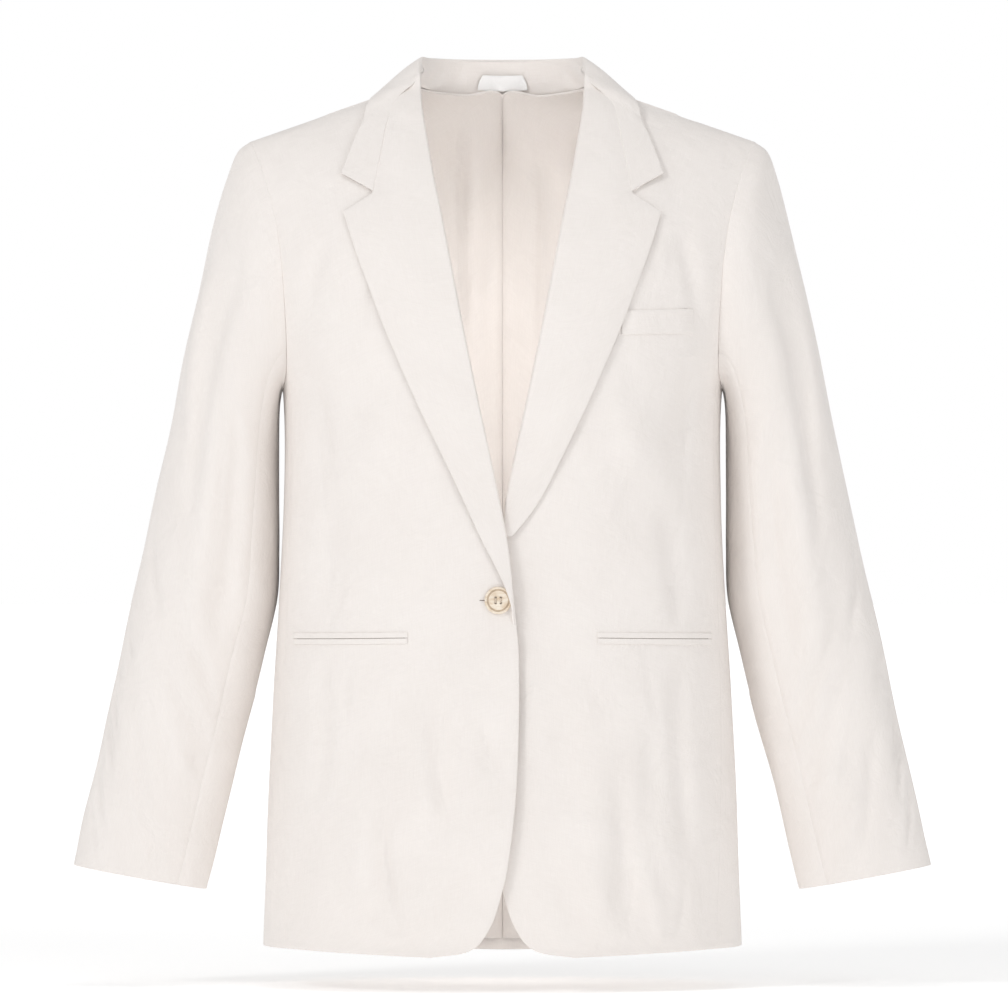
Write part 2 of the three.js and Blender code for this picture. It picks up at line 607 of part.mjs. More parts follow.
function buttonGeometry() {
  const { radius, thickness } = BUTTON;
  const { rim, chamfer, rimRound, dish } = BUTTON_FACE;
  const outline = [
    [0, 0], [radius - chamfer, 0], [radius, chamfer], [radius, thickness - chamfer],
    [radius - rimRound, thickness], [radius - rim, thickness],
    [radius - rim - chamfer, thickness - dish], [0, thickness - dish],
  ];
  let body = solid(turned(outline, BUTTON_SEGMENTS.body));
  const [bottom, top] = [-1, thickness + 1];
  const holeOutline = [[0, bottom], [BUTTON_HOLES.radius, bottom], [BUTTON_HOLES.radius, top], [0, top]];
  [-1, 1].forEach((i) => [-1, 1].forEach((j) => {
    const hole = turned(holeOutline, BUTTON_SEGMENTS.hole);
    hole.translate((i * BUTTON_HOLES.spacing) / 2, (j * BUTTON_HOLES.spacing) / 2, 0);
    body = body.subtract(solid(hole));
  }));
  const mesh = body.getMesh();
  const geometry = new THREE.BufferGeometry();
  geometry.setAttribute('position', new THREE.BufferAttribute(mesh.vertProperties, 3));
  geometry.setIndex(new THREE.BufferAttribute(mesh.triVerts, 1));
  return geometry;
}

// The button stands on the right front, with its axis along the cloth's normal.
function button(material) {
  const mesh = new THREE.Mesh(buttonGeometry(), material);
  const seat = lapped(-1, spotFromFront(-1, -BUTTON.x, BUTTON.z, 'front'));
  mesh.quaternion.setFromUnitVectors(new THREE.Vector3(0, 0, 1), seat.normal);
  mesh.position.copy(lifted(seat, 2 * SEAM_GAP).point);
  return mesh;
}

// ---- the blazer ----
const material = {
  cloth: () => new THREE.MeshStandardMaterial({ color: 0xf3ede7, roughness: 0.9, metalness: 0 }),
  lining: () => new THREE.MeshStandardMaterial({ color: 0xe9dcd2, roughness: 0.6, metalness: 0 }),
  label: () => new THREE.MeshStandardMaterial({ color: 0xf7f5f3, roughness: 0.7, metalness: 0 }),
  button: () => new THREE.MeshStandardMaterial({ color: 0xd9c3ac, roughness: 0.35, metalness: 0 }),
};

const blazer = new THREE.Group();

function add(name, geometry, slot) {
  const mesh = new THREE.Mesh(geometry, material[slot]());
  mesh.name = name;
  blazer.add(mesh);
}

[['right', -1], ['left', 1]].forEach(([name, side]) => {
  add(`front_${name}`, frontPanel(side), 'cloth');
  add(`side_${name}`, sidePanel(side), 'cloth');
  add(`back_${name}`, backPanel(side), 'cloth');
  add(`lapel_${name}`, lapel(side), 'cloth');
  add(`sleeve_top_${name}`, sleeve(side, SLEEVE_SEAM_BACK, SLEEVE_SEAM_FRONT + RING_POINTS), 'cloth');
  add(`sleeve_under_${name}`, sleeve(side, SLEEVE_SEAM_FRONT, SLEEVE_SEAM_BACK), 'cloth');
  add(`jet_upper_${name}`, pocketJet(side, 0), 'cloth');
  add(`jet_lower_${name}`, pocketJet(side, 1), 'cloth');
  add(`lining_back_${name}`, backLining(side), 'lining');
  add(`hem_turnup_${name}`, hemTurnup(side), 'cloth');
});
add('collar_fall', collarFall(), 'cloth');
add('collar_stand', collarStand(), 'cloth');
add('breast_welt', breastWelt(), 'cloth');
add('label', neckLabel(), 'label');
const fastening = button(material.button());
fastening.name = 'button';
blazer.add(fastening);

export default blazer;
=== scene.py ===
"""A single breasted blazer in ivory linen-like cloth, filled out as if worn, for Blender.

Shapes are worked out in millimetres from the same tables as the construction model and written in metres.
The fronts face -Y, +Z is up and the wearer's left is +X. "Lateral" is the distance from the centre line on a
piece's own side, "side" is -1 on the wearer's right and 1 on the left, and "lift" is height above the cloth.
"""

import math

import bpy
import numpy as np
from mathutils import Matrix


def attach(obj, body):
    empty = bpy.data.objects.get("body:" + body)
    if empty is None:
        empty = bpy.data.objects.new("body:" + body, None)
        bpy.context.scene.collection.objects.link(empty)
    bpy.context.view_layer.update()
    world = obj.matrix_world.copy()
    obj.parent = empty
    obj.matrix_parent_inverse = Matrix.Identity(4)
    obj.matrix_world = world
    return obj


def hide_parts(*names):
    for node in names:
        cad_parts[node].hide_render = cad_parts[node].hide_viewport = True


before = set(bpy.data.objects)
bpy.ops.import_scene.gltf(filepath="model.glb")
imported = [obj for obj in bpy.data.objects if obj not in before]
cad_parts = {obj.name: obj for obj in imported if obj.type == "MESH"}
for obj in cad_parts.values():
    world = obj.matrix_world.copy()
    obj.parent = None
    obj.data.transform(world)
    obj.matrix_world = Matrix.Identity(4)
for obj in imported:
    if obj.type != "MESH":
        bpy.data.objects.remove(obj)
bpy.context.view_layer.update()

MM = 0.001
RIGHT, LEFT = -1, 1
SIDES = {"right": RIGHT, "left": LEFT}

CLOTH = 1.6
LINING = 1.0
SEAM_GAP = 0.3
SHARPNESS = 2.4
NECK_LATERAL, NECK_Z = 75.0, 12.0
SHOULDER_SLOPE = 0.342
SHOULDER_ROUNDING = {"front": 150.0, "back": 110.0}
FACING = {"front": -1.0, "back": 1.0}
FOLD_RADIUS = 2.5  # of the lapel's soft roll
ROLL_CLEARANCE = 0.4  # between the front's edge and the inside of that roll
SEAM_TUCK = 6.5  # how far the side panel runs under the front and the back
SIDE_SET_IN, SIDE_EDGE_SET_IN = 0.2, 1.6  # how far it lies below them, in the open and at its edges
SEAM_DIP = 0.35  # how far a sleeve's seams sink
RIM_BULGE = 0.8  # of a cloth edge, as a share of a half round

LAP_OVER, LAP_UNDER = 0.6, 6.8  # how far the right front rises and the left one sinks where they meet
LAP_REACH, LAP_FADE = 80.0, 65.0  # lateral reach of the lap and the width over which it dies away
LAP_DROPS = 190.0, 330.0  # the lap grows between these drops below the origin

DART_DEPTH, DART_WIDTH = 0.9, 1.6
DART_TOP_X, DART_LEAN = 163.0, 21.0
DART_DROP, DART_LENGTH = 205.0, 245.0
DART_BEGINS, DART_ENDS = (225, 300), (449, 454)

POCKET_FROM, POCKET_TO, POCKET_Z, POCKET_DROP = 79.5, 176.0, -455.5, 1.5
JET_OUTER, JET_INNER = 4.6, 0.5  # distances of a jet's two edges from the pocket's line
WELT_FROM, WELT_TO, WELT_TOP, WELT_HEIGHT, WELT_DROP = 100, 161, -181.5, 20, -2
BREAST_SLIT_FROM, BREAST_SLIT_RISE = 138, 0.8
BUTTONHOLE_FROM, BUTTONHOLE_TO = 13.5, 19.0
STRIP_LIFT, STRIP_CLOTH = 0.9, 0.7
SLIT_LIFT, SLIT_CLOTH = 0.55, 0.4

BUTTON_X, BUTTON_Z, BUTTON_RADIUS, BUTTON_THICKNESS = -3.5, -424.0, 11.5, 2.6
BUTTON_LIFT = 0.6
BUTTON_HOLE_RADIUS, BUTTON_HOLE_OFFSET = 1.05, 2.2
BUTTON_SHADE_RING = 1.9, 3.5  # the ring of painted shade on the rim's inner slope, as distances in from the button's edge
THREAD_RADIUS = 0.22

LABEL_WIDTH, LABEL_TAPER, LABEL_CLOTH = 43, 11, 0.6
LABEL_SPAN = 0.15, 0.6  # its lower and upper edge, as shares of the collar stand's height
LABEL_LIFT, LABEL_BELLY = 3.4, 0.6

# Mesh rows and columns of the pieces.
PANEL_ROWS, FRONT_COLUMNS, BACK_COLUMNS = 170, 56, 44
LINING_ROWS, LINING_COLUMNS = 120, 34
SIDE_ROWS, SIDE_COLUMNS = 110, 30
SLEEVE_ROWS, SLEEVE_TOP_COLUMNS, SLEEVE_UNDER_COLUMNS = 150, 66, 30
LAPEL_COLUMNS, ROLL_COLUMNS = 34, 9
COLLAR_MESH_ROWS, FALL_COLUMNS, STAND_COLUMNS, TURN_COLUMNS = 230, 27, 11, 9
LABEL_MESH_ROWS, LABEL_COLUMNS = 8, 40
STRIP_ROWS, STRIP_COLUMNS, SLIT_COLUMNS = 7, 60, 70
TURNUP_ROWS = 9


def table(names, *rows):
    """A table with named columns, each an array."""
    return dict(zip(names.split(), np.array(rows, float).T))


TORSO = table(
    "z width front back",
    (40, 256, 58, 88),
    (0, 254, 68, 95),
    (-40, 250, 82, 108),
    (-74, 240, 95, 113),
    (-124, 222, 112, 119),
    (-168, 206, 124, 122),
    (-208, 196, 130, 123),
    (-246, 187, 133, 124),
    (-340, 186, 132, 122),
    (-425, 190, 133, 124),
    (-510, 195, 136, 128),
    (-595, 199, 140, 133),
    (-680, 202, 143, 137),
    (-730, 204, 144, 139),
)
ARMHOLE_UPPER = table(
    "z front back",
    (-35.5, 214, 214),
    (-48, 208, 208),
    (-72, 199.5, 200.5),
    (-104, 191.5, 193.5),
    (-137, 186.5, 188.5),
    (-168, 184, 185.5),
    (-195, 182.5, 183.5),
    (-216, 182, 182.5),
)
ARMHOLE_LOWER = table("z depth", (-232, 47), (-242, 33), (-246, 0))
SIDE_SEAMS = table("z front back", (-232, 47, 47), (-455, 52, 62), (-720, 82, 84))

# Free edge and side height of each row of the front and of the back. Rows 0 to 8 end on the armhole.
FRONT_ROWS = table(
    "edge edge_z side_z",
    (75, 12, 0),
    (69.5, -12, 0),
    (64, -36, 0),
    (58, -62, 0),
    (51.5, -92, 0),
    (45, -126, 0),
    (38.5, -160, 0),
    (33, -190, 0),
    (27.5, -218, -232),
    (17, -268, -275),
    (5.5, -323, -325),
    (-4.7, -377, -378),
    (-9, -424, -425),
    (-13, -470, -470),
    (-13, -530, -525),
    (-10.4, -591, -580),
    (-4.6, -641, -625),
    (0.4, -666, -655),
    (10.4, -696, -680),
    (27, -716, -702),
    (60, -722, -717),
)
BACK_ROWS = table(
    "edge edge_z side_z",
    (75, 12, 0),
    (58, 9, 0),
    (32, 7, 0),
    (0, 6, 0),
    (0, -50, 0),
    (0, -100, 0),
    (0, -145, 0),
    (0, -185, 0),
    (0, -225, -232),
    (0, -270, -275),
    (0, -325, -325),
    (0, -378, -378),
    (0, -425, -425),
    (0, -470, -470),
    (0, -528, -525),
    (0, -585, -580),
    (0, -633, -625),
    (0, -664, -655),
    (0, -690, -680),
    (0, -712, -702),
    (0, -728, -717),
)
LAST_ARMHOLE_ROW = 8
COLUMN_ARC = math.radians(78)  # sets the columns closer together towards the side seam
BACK_HEM_BOW, BOWED_ROWS = 0.6, (14, 20)  # how level the back's lowest rows leave the centre
BREAK_ROW = 12  # the front's row where the roll line ends

SLEEVE_RINGS = table(
    "outer outer_z inner inner_z half back follow",
    (214.5, -35.5, 187.4, -246, 62, 0, 1),
    (226, -45, 188.6, -248, 66, 1, 0.88),
    (234, -66, 189.6, -254, 70, 3, 0.66),
    (243.5, -101, 190, -265, 72, 5, 0.38),
    (255, -148, 190, -283, 71, 7, 0.14),
    (267, -203, 190, -308, 69, 9, 0),
    (281, -268, 190, -342, 65, 9, 0),
    (296, -340, 190, -382, 60, 8, 0),
    (309, -400, 191.5, -424, 54, 5, 0),
    (321, -453, 202, -470, 49, 1, 0),
    (333, -508, 215, -524, 45, -5, 0),
    (346, -568, 230, -584, 40, -12, 0),
    (356, -612, 241, -630, 36, -18, 0),
    (363.5, -648.5, 251, -669, 33, -23, 0),
)
RING_POINTS = 20
SLEEVE_SEAM_FRONT, SLEEVE_SEAM_BACK = 7, 13

LAPEL_ROWS = table(
    "roll roll_z edge edge_z lift",
    (69.3, 20, 73, 18, -1.2),
    (67.5, -8, 91.5, -1, 0.3),
    (64, -30, 100, -26, -0.3),
    (60, -54, 105, -55, -0.3),
    (55.5, -78, 108.6, -83.5, -0.1),
    (51, -99, 132.5, -99, 0),
    (45.5, -128, 122, -132, 0),
    (39, -162, 110, -164, 0),
    (32.5, -196, 97, -198, 0),
    (20, -257, 70, -260, 0),
    (6, -322, 38.5, -326, 0),
    (-3.5, -370, 18, -371, 0),
    (-7.5, -402, 1, -405, 1.2),
    (-9.2, -428, -8.2, -430, 1.4),
    (-10.2, -437, -9.2, -438, -0.4),
    (-10.8, -445, -10.5, -446, -4.6),
)
LEFT_LAPEL_KEEPS = 11  # rows that the left lapel shares with the right one
LEFT_LAPEL_END = table("roll roll_z edge edge_z lift", (1, -350, 24, -350, 0), (-1, -370, 8, -370, 0))
NOTCH_ROW, CORNER_ROW = 4, 5
LAPEL_FORM_TOP = 5.0  # above this height the lapel runs straight up under the collar
LAPEL_ROLL_LIFT, LAPEL_EDGE_LIFT, LAPEL_SWELL, LAPEL_FULL_WIDTH = 3.4, 3.6, 2.2, 60.0
LAPEL_SPACING = 3.2  # between mesh rows
LAPEL_LEAN = 0.5  # backwards, for each millimetre above the form's top

COLLAR_ROWS = table(
    "inner inner_y inner_z edge edge_y edge_z",
    (0, 62, 38, 0, 86, -8),
    (38, 55, 38, 52, 80, -8),
    (61, 35, 38, 90, 55, -3),
    (69, 10, 36.5, 105.5, 17, 5),
    (70.0, -16, 18, 113.5, -20, -1.5),
    (86.8, -25.6, 2, 118, -38, -19),
    (96.2, math.nan, -24, 123, math.nan, -35),
    (101.5, math.nan, -53, 129, math.nan, -51),
    (107, math.nan, -81.5, 134.5, math.nan, -66),
)
COLLAR_LIFT = 4.2
ALLOWANCE_FROM, ALLOWANCE_WIDTH = 0.30, 0.25  # the cloth turned under at the gorge, as shares of a row
COLLAR_TURN = 0.45  # how squarely the collar turns over its top edge
COLLAR_FOLD = 3.4  # thickness of the collar where its edge is turned under
STAND_ROWS = table(
    "seam seam_y seam_z top top_y top_z",
    (0, 66.5, 6.6, 0, 62.3, 35),
    (34, 58, 7.6, 38, 55.2, 35),
    (58, 40, 9.8, 60.5, 35, 35),
    (71, 12, 13, 68, 10, 33.4),
    (73, 0, 13.2, 69.5, -2, 24),
)

# ---- curves and the torso's surface ----


def curve(xs, ys):
    """A smooth curve through the points, by x, which rises or falls all the way."""
    xs, ys = np.asarray(xs, float), np.asarray(ys, float)
    if xs[-1] < xs[0]:
        xs, ys = xs[::-1], ys[::-1]
    count = len(xs)
    before = np.maximum(np.arange(count) - 1, 0)
    after = np.minimum(np.arange(count) + 1, count - 1)
    slopes = (ys[after] - ys[before]) / (xs[after] - xs[before])

    def value(at):
        at = np.clip(at, xs[0], xs[-1])
        i = np.clip(np.searchsorted(xs, at, side="right") - 1, 0, count - 2)
        span = xs[i + 1] - xs[i]
        t = (at - xs[i]) / span
        a, b, rise = slopes[i] * span, slopes[i + 1] * span, ys[i + 1] - ys[i]
        return ys[i] + t * (a + t * (3 * rise - 2 * a - b + t * (a + b - 2 * rise)))

    return value


def resampled(rows, at):
    """Every column of a table, at row numbers that may be fractions."""
    numbers = np.arange(len(next(iter(rows.values()))))
    return {name: curve(numbers, values)(at) for name, values in rows.items()}


torso_width = curve(TORSO["z"], TORSO["width"])
torso_depth = {face: curve(TORSO["z"], TORSO[face]) for face in FACING}
seam_depth = {face: curve(SIDE_SEAMS["z"], SIDE_SEAMS[face]) for face in FACING}


def smoothstep(x, low, high):
    t = np.clip((x - low) / (high - low), 0, 1)
    return t * t * (3 - 2 * t)


def section_share(share):
    return np.maximum(1 - np.abs(share) ** SHARPNESS, 0) ** (1 / SHARPNESS)


def depth_at(lateral, z, face):
    """Depth of the form at a lateral distance and a height, always positive."""
    shoulder = NECK_Z - SHOULDER_SLOPE * (np.abs(lateral) - NECK_LATERAL)
    below = np.clip((shoulder - z) / SHOULDER_ROUNDING[face], 0, 1)
    return torso_depth[face](z) * section_share(lateral / torso_width(z)) * np.sqrt(1 - (1 - below) ** 2)


def on_form(side, lateral, z, face):
    lateral, z = np.broadcast_arrays(np.asarray(lateral, float), np.asarray(z, float))
    return np.stack([side * lateral, FACING[face] * depth_at(lateral, z, face), z], -1)


def form_normal(side, lateral, z, face):
    """The form's outward normal, from small steps across and down."""
    step = 0.5
    across = on_form(side, lateral + step, z, face) - on_form(side, lateral - step, z, face)
    up = on_form(side, lateral, z + step, face) - on_form(side, lateral, z - step, face)
    normal = np.cross(across, up) * side * (1 if face == "front" else -1)
    return normal / np.maximum(np.linalg.norm(normal, axis=-1, keepdims=True), 1e-9)


def lifted(side, lateral, z, face, height):
    """Points of the form moved out by a height, and the normals there."""
    normal = form_normal(side, lateral, z, face)
    return on_form(side, lateral, z, face) + normal * np.asarray(height)[..., None], normal


def side_point(side, depth, z, face):
    lateral = torso_width(z) * section_share(depth / torso_depth[face](z))
    return np.array([side * lateral, FACING[face] * depth, z])


def armhole_table(side):
    """The armhole's ring of points, from the shoulder tip over the front, underarm and back."""
    points = []
    for number in range(RING_POINTS):
        half = RING_POINTS // 2
        face = "front" if number <= half else "back"
        step = number if number <= half else RING_POINTS - number
        upper = len(ARMHOLE_UPPER["z"])
        if step < upper:
            points.append(on_form(side, ARMHOLE_UPPER[face][step], ARMHOLE_UPPER["z"][step], face))
        else:
            row = step - upper
            points.append(side_point(side, ARMHOLE_LOWER["depth"][row], ARMHOLE_LOWER["z"][row], face))
    return np.array(points)


def armhole(side):
    """A smooth function of the ring number, which may be a fraction."""
    points = armhole_table(side)
    numbers = np.arange(-2, RING_POINTS + 3)
    axes = [curve(numbers, points[numbers % RING_POINTS, k]) for k in range(3)]
    return lambda number: np.stack([axis(np.mod(number, RING_POINTS)) for axis in axes], -1)


# ---- meshes ----


def normals_of(grid, sign):
    down = np.gradient(grid, axis=0)
    across = np.gradient(grid, axis=1)
    normal = np.cross(down, across) * sign
    return normal / np.maximum(np.linalg.norm(normal, axis=-1, keepdims=True), 1e-9)


def grid_uv(grid):
    """Distances along the rows and down the columns, in metres, so that a weave keeps its scale."""
    across = np.linalg.norm(np.diff(grid, axis=1), axis=-1)
    down = np.linalg.norm(np.diff(grid, axis=0), axis=-1)
    u = np.concatenate([np.zeros((len(grid), 1)), np.cumsum(across, axis=1)], axis=1)
    v = np.concatenate([np.zeros((1, grid.shape[1])), np.cumsum(down, axis=0)], axis=0)
    u = u - u.mean(axis=1, keepdims=True)
    return np.stack([u, v], -1) * MM


def shell(name, grid, sign, thickness, normals=None):
    """A closed cloth wall with a soft round rim. The grid is its outer face."""
    rows, columns = grid.shape[:2]
    normal = normals_of(grid, sign) if normals is None else normals
    inner = grid - normal * thickness
    number = np.arange(rows * columns).reshape(rows, columns)
    loop = np.concatenate([number[0, :-1], number[:-1, -1], number[-1, :0:-1], number[:0:-1, 0]])
    flat, flat_inner, flat_normal = grid.reshape(-1, 3), inner.reshape(-1, 3), normal.reshape(-1, 3)
    edge, facing = flat[loop], flat_normal[loop]
    tangent = np.roll(edge, -1, axis=0) - np.roll(edge, 1, axis=0)
    off = np.cross(tangent, facing)
    off /= np.maximum(np.linalg.norm(off, axis=1, keepdims=True), 1e-9)
    middle = edge - facing * thickness / 2
    towards = flat.mean(axis=0) - edge
    if np.sum(off * towards) > 0:
        off = -off
    rings = []
    for degrees in (45, 90, 135):
        angle = math.radians(degrees)
        rings.append(middle + thickness / 2 * (math.cos(angle) * facing + RIM_BULGE * math.sin(angle) * off))
    points = np.concatenate([flat, flat_inner, *rings])
    corners = [number[:-1, :-1], number[1:, :-1], number[1:, 1:], number[:-1, 1:]]
    quads = np.stack([corner.ravel() for corner in corners], 1)
    total = rows * columns
    faces = [quads, quads[:, [0, 3, 2, 1]] + total]
    bands = [loop] + [2 * total + k * len(loop) + np.arange(len(loop)) for k in range(3)] + [loop + total]
    for upper, lower in zip(bands[:-1], bands[1:]):
        faces.append(np.stack([upper, np.roll(upper, -1), np.roll(lower, -1), lower], 1))
    faces = np.concatenate(faces)
    uv = grid_uv(grid).reshape(-1, 2)
    uvs = np.concatenate([uv, uv, *([uv[loop]] * 3)])
    return mesh_object(name, points, faces, uvs)


def add_object(name, data):
    made = bpy.data.objects.new(name, data)
    bpy.context.scene.collection.objects.link(made)
    return made


def add_mesh(name, points, faces):
    mesh = bpy.data.meshes.new(name)
    mesh.from_pydata(points, [], faces)
    return add_object(name, mesh)


def smooth_faces(mesh):
    mesh.polygons.foreach_set("use_smooth", [True] * len(mesh.polygons))


def mesh_object(name, points, faces, uvs):
    piece = add_mesh(name, (points * MM).tolist(), faces.tolist())
    mesh = piece.data
    if signed_volume(points, faces) < 0:
        mesh.flip_normals()
    layer = mesh.uv_layers.new(name="cloth")
    corners = np.zeros(len(mesh.loops), np.int32)
    mesh.loops.foreach_get("vertex_index", corners)
    layer.data.foreach_set("uv", uvs[corners].astype(np.float32).ravel())
    smooth_faces(mesh)
    mesh.update()
    return piece


def signed_volume(points, faces):
    """Six times the volume that the faces close in, negative where they face inwards."""
    volume = 0.0
    for k in range(1, faces.shape[1] - 1):
        turned = np.cross(points[faces[:, k]], points[faces[:, k + 1]])
        volume += np.einsum("ij,ij->", points[faces[:, 0]], turned)
    return volume


# ---- creases ----

CREASE_COLUMNS = "x0 z0 x1 z1 width height bend"
CREASE_TAPER = 0.7  # how slowly a crease dies away towards its ends
FRONT_RELIEF, BACK_RELIEF, SLEEVE_RELIEF, LINING_RELIEF = 2.5, 2.8, 2.2, 1.5  # scales of the crease tables
WAVES, SIDE_WAVES, SLEEVE_WAVES = 0.5, 0.3, 0.9  # heights of the soft unevenness
SIDE_FADE_FROM, SIDE_FADE = 178.0, 26.0  # creases die away towards the side seams
CENTRE_FADE = 14.0
SIDE_FOLDS = 0.6
LINING_GAP, LINING_STAND_OFF = 0.9, 6.0  # between back and lining, at the seams and in the open

# Soft troughs (negative) and ridges of each front, from x0, z0 to x1, z1, with x measured laterally.
FRONT_CREASES = {
    RIGHT: table(
        CREASE_COLUMNS,
        (52, -500, 46, -625, 9, -2.2, 3),
        (66, -520, 60, -610, 12, 1.4, -3),
        (104, -600, 84, -705, 8, -2.0, 4),
        (92, -640, 70, -712, 12, 1.2, 2),
        (18, -528, -7, -590, 8, -1.3, 2),
        (150, -120, 172, -205, 10, -1.8, 5),
        (168, -215, 150, -340, 11, -1.6, -4),
        (140, -330, 150, -440, 12, -1.5, 3),
        (152, -470, 158, -600, 9, -1.9, -4),
        (132, -480, 124, -560, 8, -1.2, 3),
        (88, -250, 108, -330, 16, 1.5, 4),
        (118, -560, 122, -690, 12, 1.4, -4),
        (20, -640, 46, -715, 9, -1.0, 3),
        (19, -524, -6, -586, 3.2, -0.7, 2),
        (62, -520, 49, -600, 3.5, -0.8, 2),
        (104, -570, 90, -690, 3.0, -0.8, 3),
        (114, -678, 84, -704, 3.2, -0.7, 3),
        (120, -470, 128, -540, 3.0, 0.6, 2),
        (134, -392, 146, -450, 3.2, -0.7, -2),
        (96, -140, 118, -196, 4.0, -0.6, 3),
        (156, -250, 146, -318, 3.5, -0.7, -2),
    ),
    LEFT: table(
        CREASE_COLUMNS,
        (60, -512, 52, -600, 10, -1.6, -3),
        (96, -560, 100, -700, 9, -2.0, 4),
        (74, -600, 88, -705, 12, 1.3, -3),
        (150, -110, 170, -210, 10, -1.9, 5),
        (166, -220, 146, -330, 12, -1.5, -4),
        (134, -345, 148, -448, 10, -1.8, 4),
        (150, -475, 160, -640, 9, -2.1, -5),
        (126, -520, 118, -640, 10, -1.3, 3),
        (96, -250, 112, -322, 15, 1.4, 4),
        (24, -470, 30, -560, 12, 1.1, 2),
        (40, -640, 66, -712, 9, -1.2, 3),
        (120, -650, 132, -712, 8, 1.2, 2),
        (108, -640, 104, -706, 3.2, -0.8, 2),
        (154, -655, 146, -708, 3.2, -0.7, 2),
        (66, -470, 84, -540, 3.5, -0.6, 3),
        (138, -398, 150, -452, 3.2, -0.7, 2),
        (120, -462, 132, -530, 3.0, -0.6, -2),
        (40, -560, 30, -640, 3.5, -0.7, 2),
        (160, -240, 152, -310, 3.5, -0.7, 2),
    ),
}
BACK_CREASES = table(
    CREASE_COLUMNS,
    (30, -300, 62, -420, 16, -2.4, 8),
    (92, -270, 120, -420, 14, -2.2, -8),
    (60, -470, 70, -640, 14, -1.8, 6),
    (120, -470, 130, -660, 12, -2.0, -6),
    (150, -130, 164, -260, 12, -2.2, 6),
    (20, -560, 34, -700, 12, 1.5, -4),
    (90, -600, 100, -715, 12, 1.6, 4),
    (40, -60, 110, -75, 16, 1.4, 6),
    (128, -330, 90, -360, 12, -1.2, 4),
)
LEFT_BACK_SHIFT = {"x0": 9, "z0": 22}  # what sets the left back's creases apart from the right one's

LINING_CREASES = {
    RIGHT: table(
        CREASE_COLUMNS,
        (28, -4, 12, -120, 7, 4.0, 3),
        (12, -30, 14, -330, 8, -2.6, 3),
        (30, -60, 24, -320, 9, 3.2, -4),
        (44, -20, 36, -200, 8, -3.0, 3),
        (58, -40, 52, -260, 9, 2.6, -3),
    ),
    LEFT: table(
        CREASE_COLUMNS,
        (14, -40, 10, -320, 8, -2.4, 3),
        (26, -20, 20, -260, 9, 2.8, 4),
        (40, -16, 34, -220, 8, -2.8, -3),
        (54, -30, 46, -240, 9, 2.8, 3),
    ),
}


def creased(x, z, rows, scale=1.0):
    """Height of all the creases of a table at flat places x, z."""
    height = np.zeros(np.broadcast(x, z).shape)
    for x0, z0, x1, z1, width, tall, bend in np.stack(list(rows.values()), 1):
        length = math.hypot(x1 - x0, z1 - z0)
        ux, uz = (x1 - x0) / length, (z1 - z0) / length
        along = np.clip(((x - x0) * ux + (z - z0) * uz) / length, 0, 1)
        bow = bend * np.sin(np.pi * along)
        off = np.hypot(x - x0 - along * length * ux + bow * uz, z - z0 - along * length * uz - bow * ux)
        height += tall * (4 * along * (1 - along)) ** CREASE_TAPER * np.exp(-((off / width) ** 2))
    return height * scale


def soft_waves(points, amount, seed):
    """Broad, gentle unevenness. Each wave's length is 2 pi times what its place is divided by."""
    x, y, z = points[..., 0], points[..., 1], points[..., 2]
    waves = (
        np.sin(x / 17 + 1.3 * seed + 0.6 * np.sin(z / 61)) * np.sin(z / 95 + seed)
        + 0.7 * np.sin(x / 9.5 + y / 21 + seed) * np.sin(z / 47 + 2 * seed + x / 60)
        + 0.45 * np.sin(z / 19 + x / 33 + y / 15 + 0.7 * seed)
    )
    return amount * waves


def lap_shift(side, lateral, z):
    """The right front lies over the left one: how far each outer face moves where they meet."""
    near_edge = smoothstep(LAP_REACH - lateral, 0, LAP_FADE)
    low = smoothstep(-z, *LAP_DROPS)
    return (LAP_OVER if side == RIGHT else -LAP_UNDER) * near_edge * low


def side_fade(lateral):
    return smoothstep(SIDE_FADE_FROM - lateral, 0, SIDE_FADE)


def front_lift(side, lateral, z):
    """Everything that moves the front's outer face off the plain form."""
    edge_calm = smoothstep(lateral, -20, 22)
    place = on_form(side, lateral, z, "front")
    creases = creased(lateral, z, FRONT_CREASES[side], FRONT_RELIEF) * edge_calm
    relief = creases + soft_waves(place, WAVES, 1.0 + side)
    return lap_shift(side, lateral, z) + relief * side_fade(lateral) - dart_groove(lateral, z)


def dart_groove(lateral, z):
    """The front dart, sewn from under the chest down to the pocket."""
    along = smoothstep(-z, *DART_BEGINS) * (1 - smoothstep(-z, *DART_ENDS))
    centre = DART_TOP_X - DART_LEAN * np.clip((-z - DART_DROP) / DART_LENGTH, 0, 1)
    return DART_DEPTH * along * np.exp(-(((lateral - centre) / DART_WIDTH) ** 2))


def front_point(side, lateral, z, lift=0.0):
    return lifted(side, lateral, z, "front", front_lift(side, lateral, z) + lift)


# ---- panels ----


def row_values(rows, count):
    """Every column of a row table, at evenly spaced fractions of its rows."""
    at = np.linspace(0, len(rows["edge"]) - 1, count)
    return at, resampled(rows, at)


def side_heights(rows, at):
    first = LAST_ARMHOLE_ROW
    numbers = np.arange(first, len(rows["side_z"]))
    return curve(numbers, rows["side_z"][first:])(np.maximum(at, first))


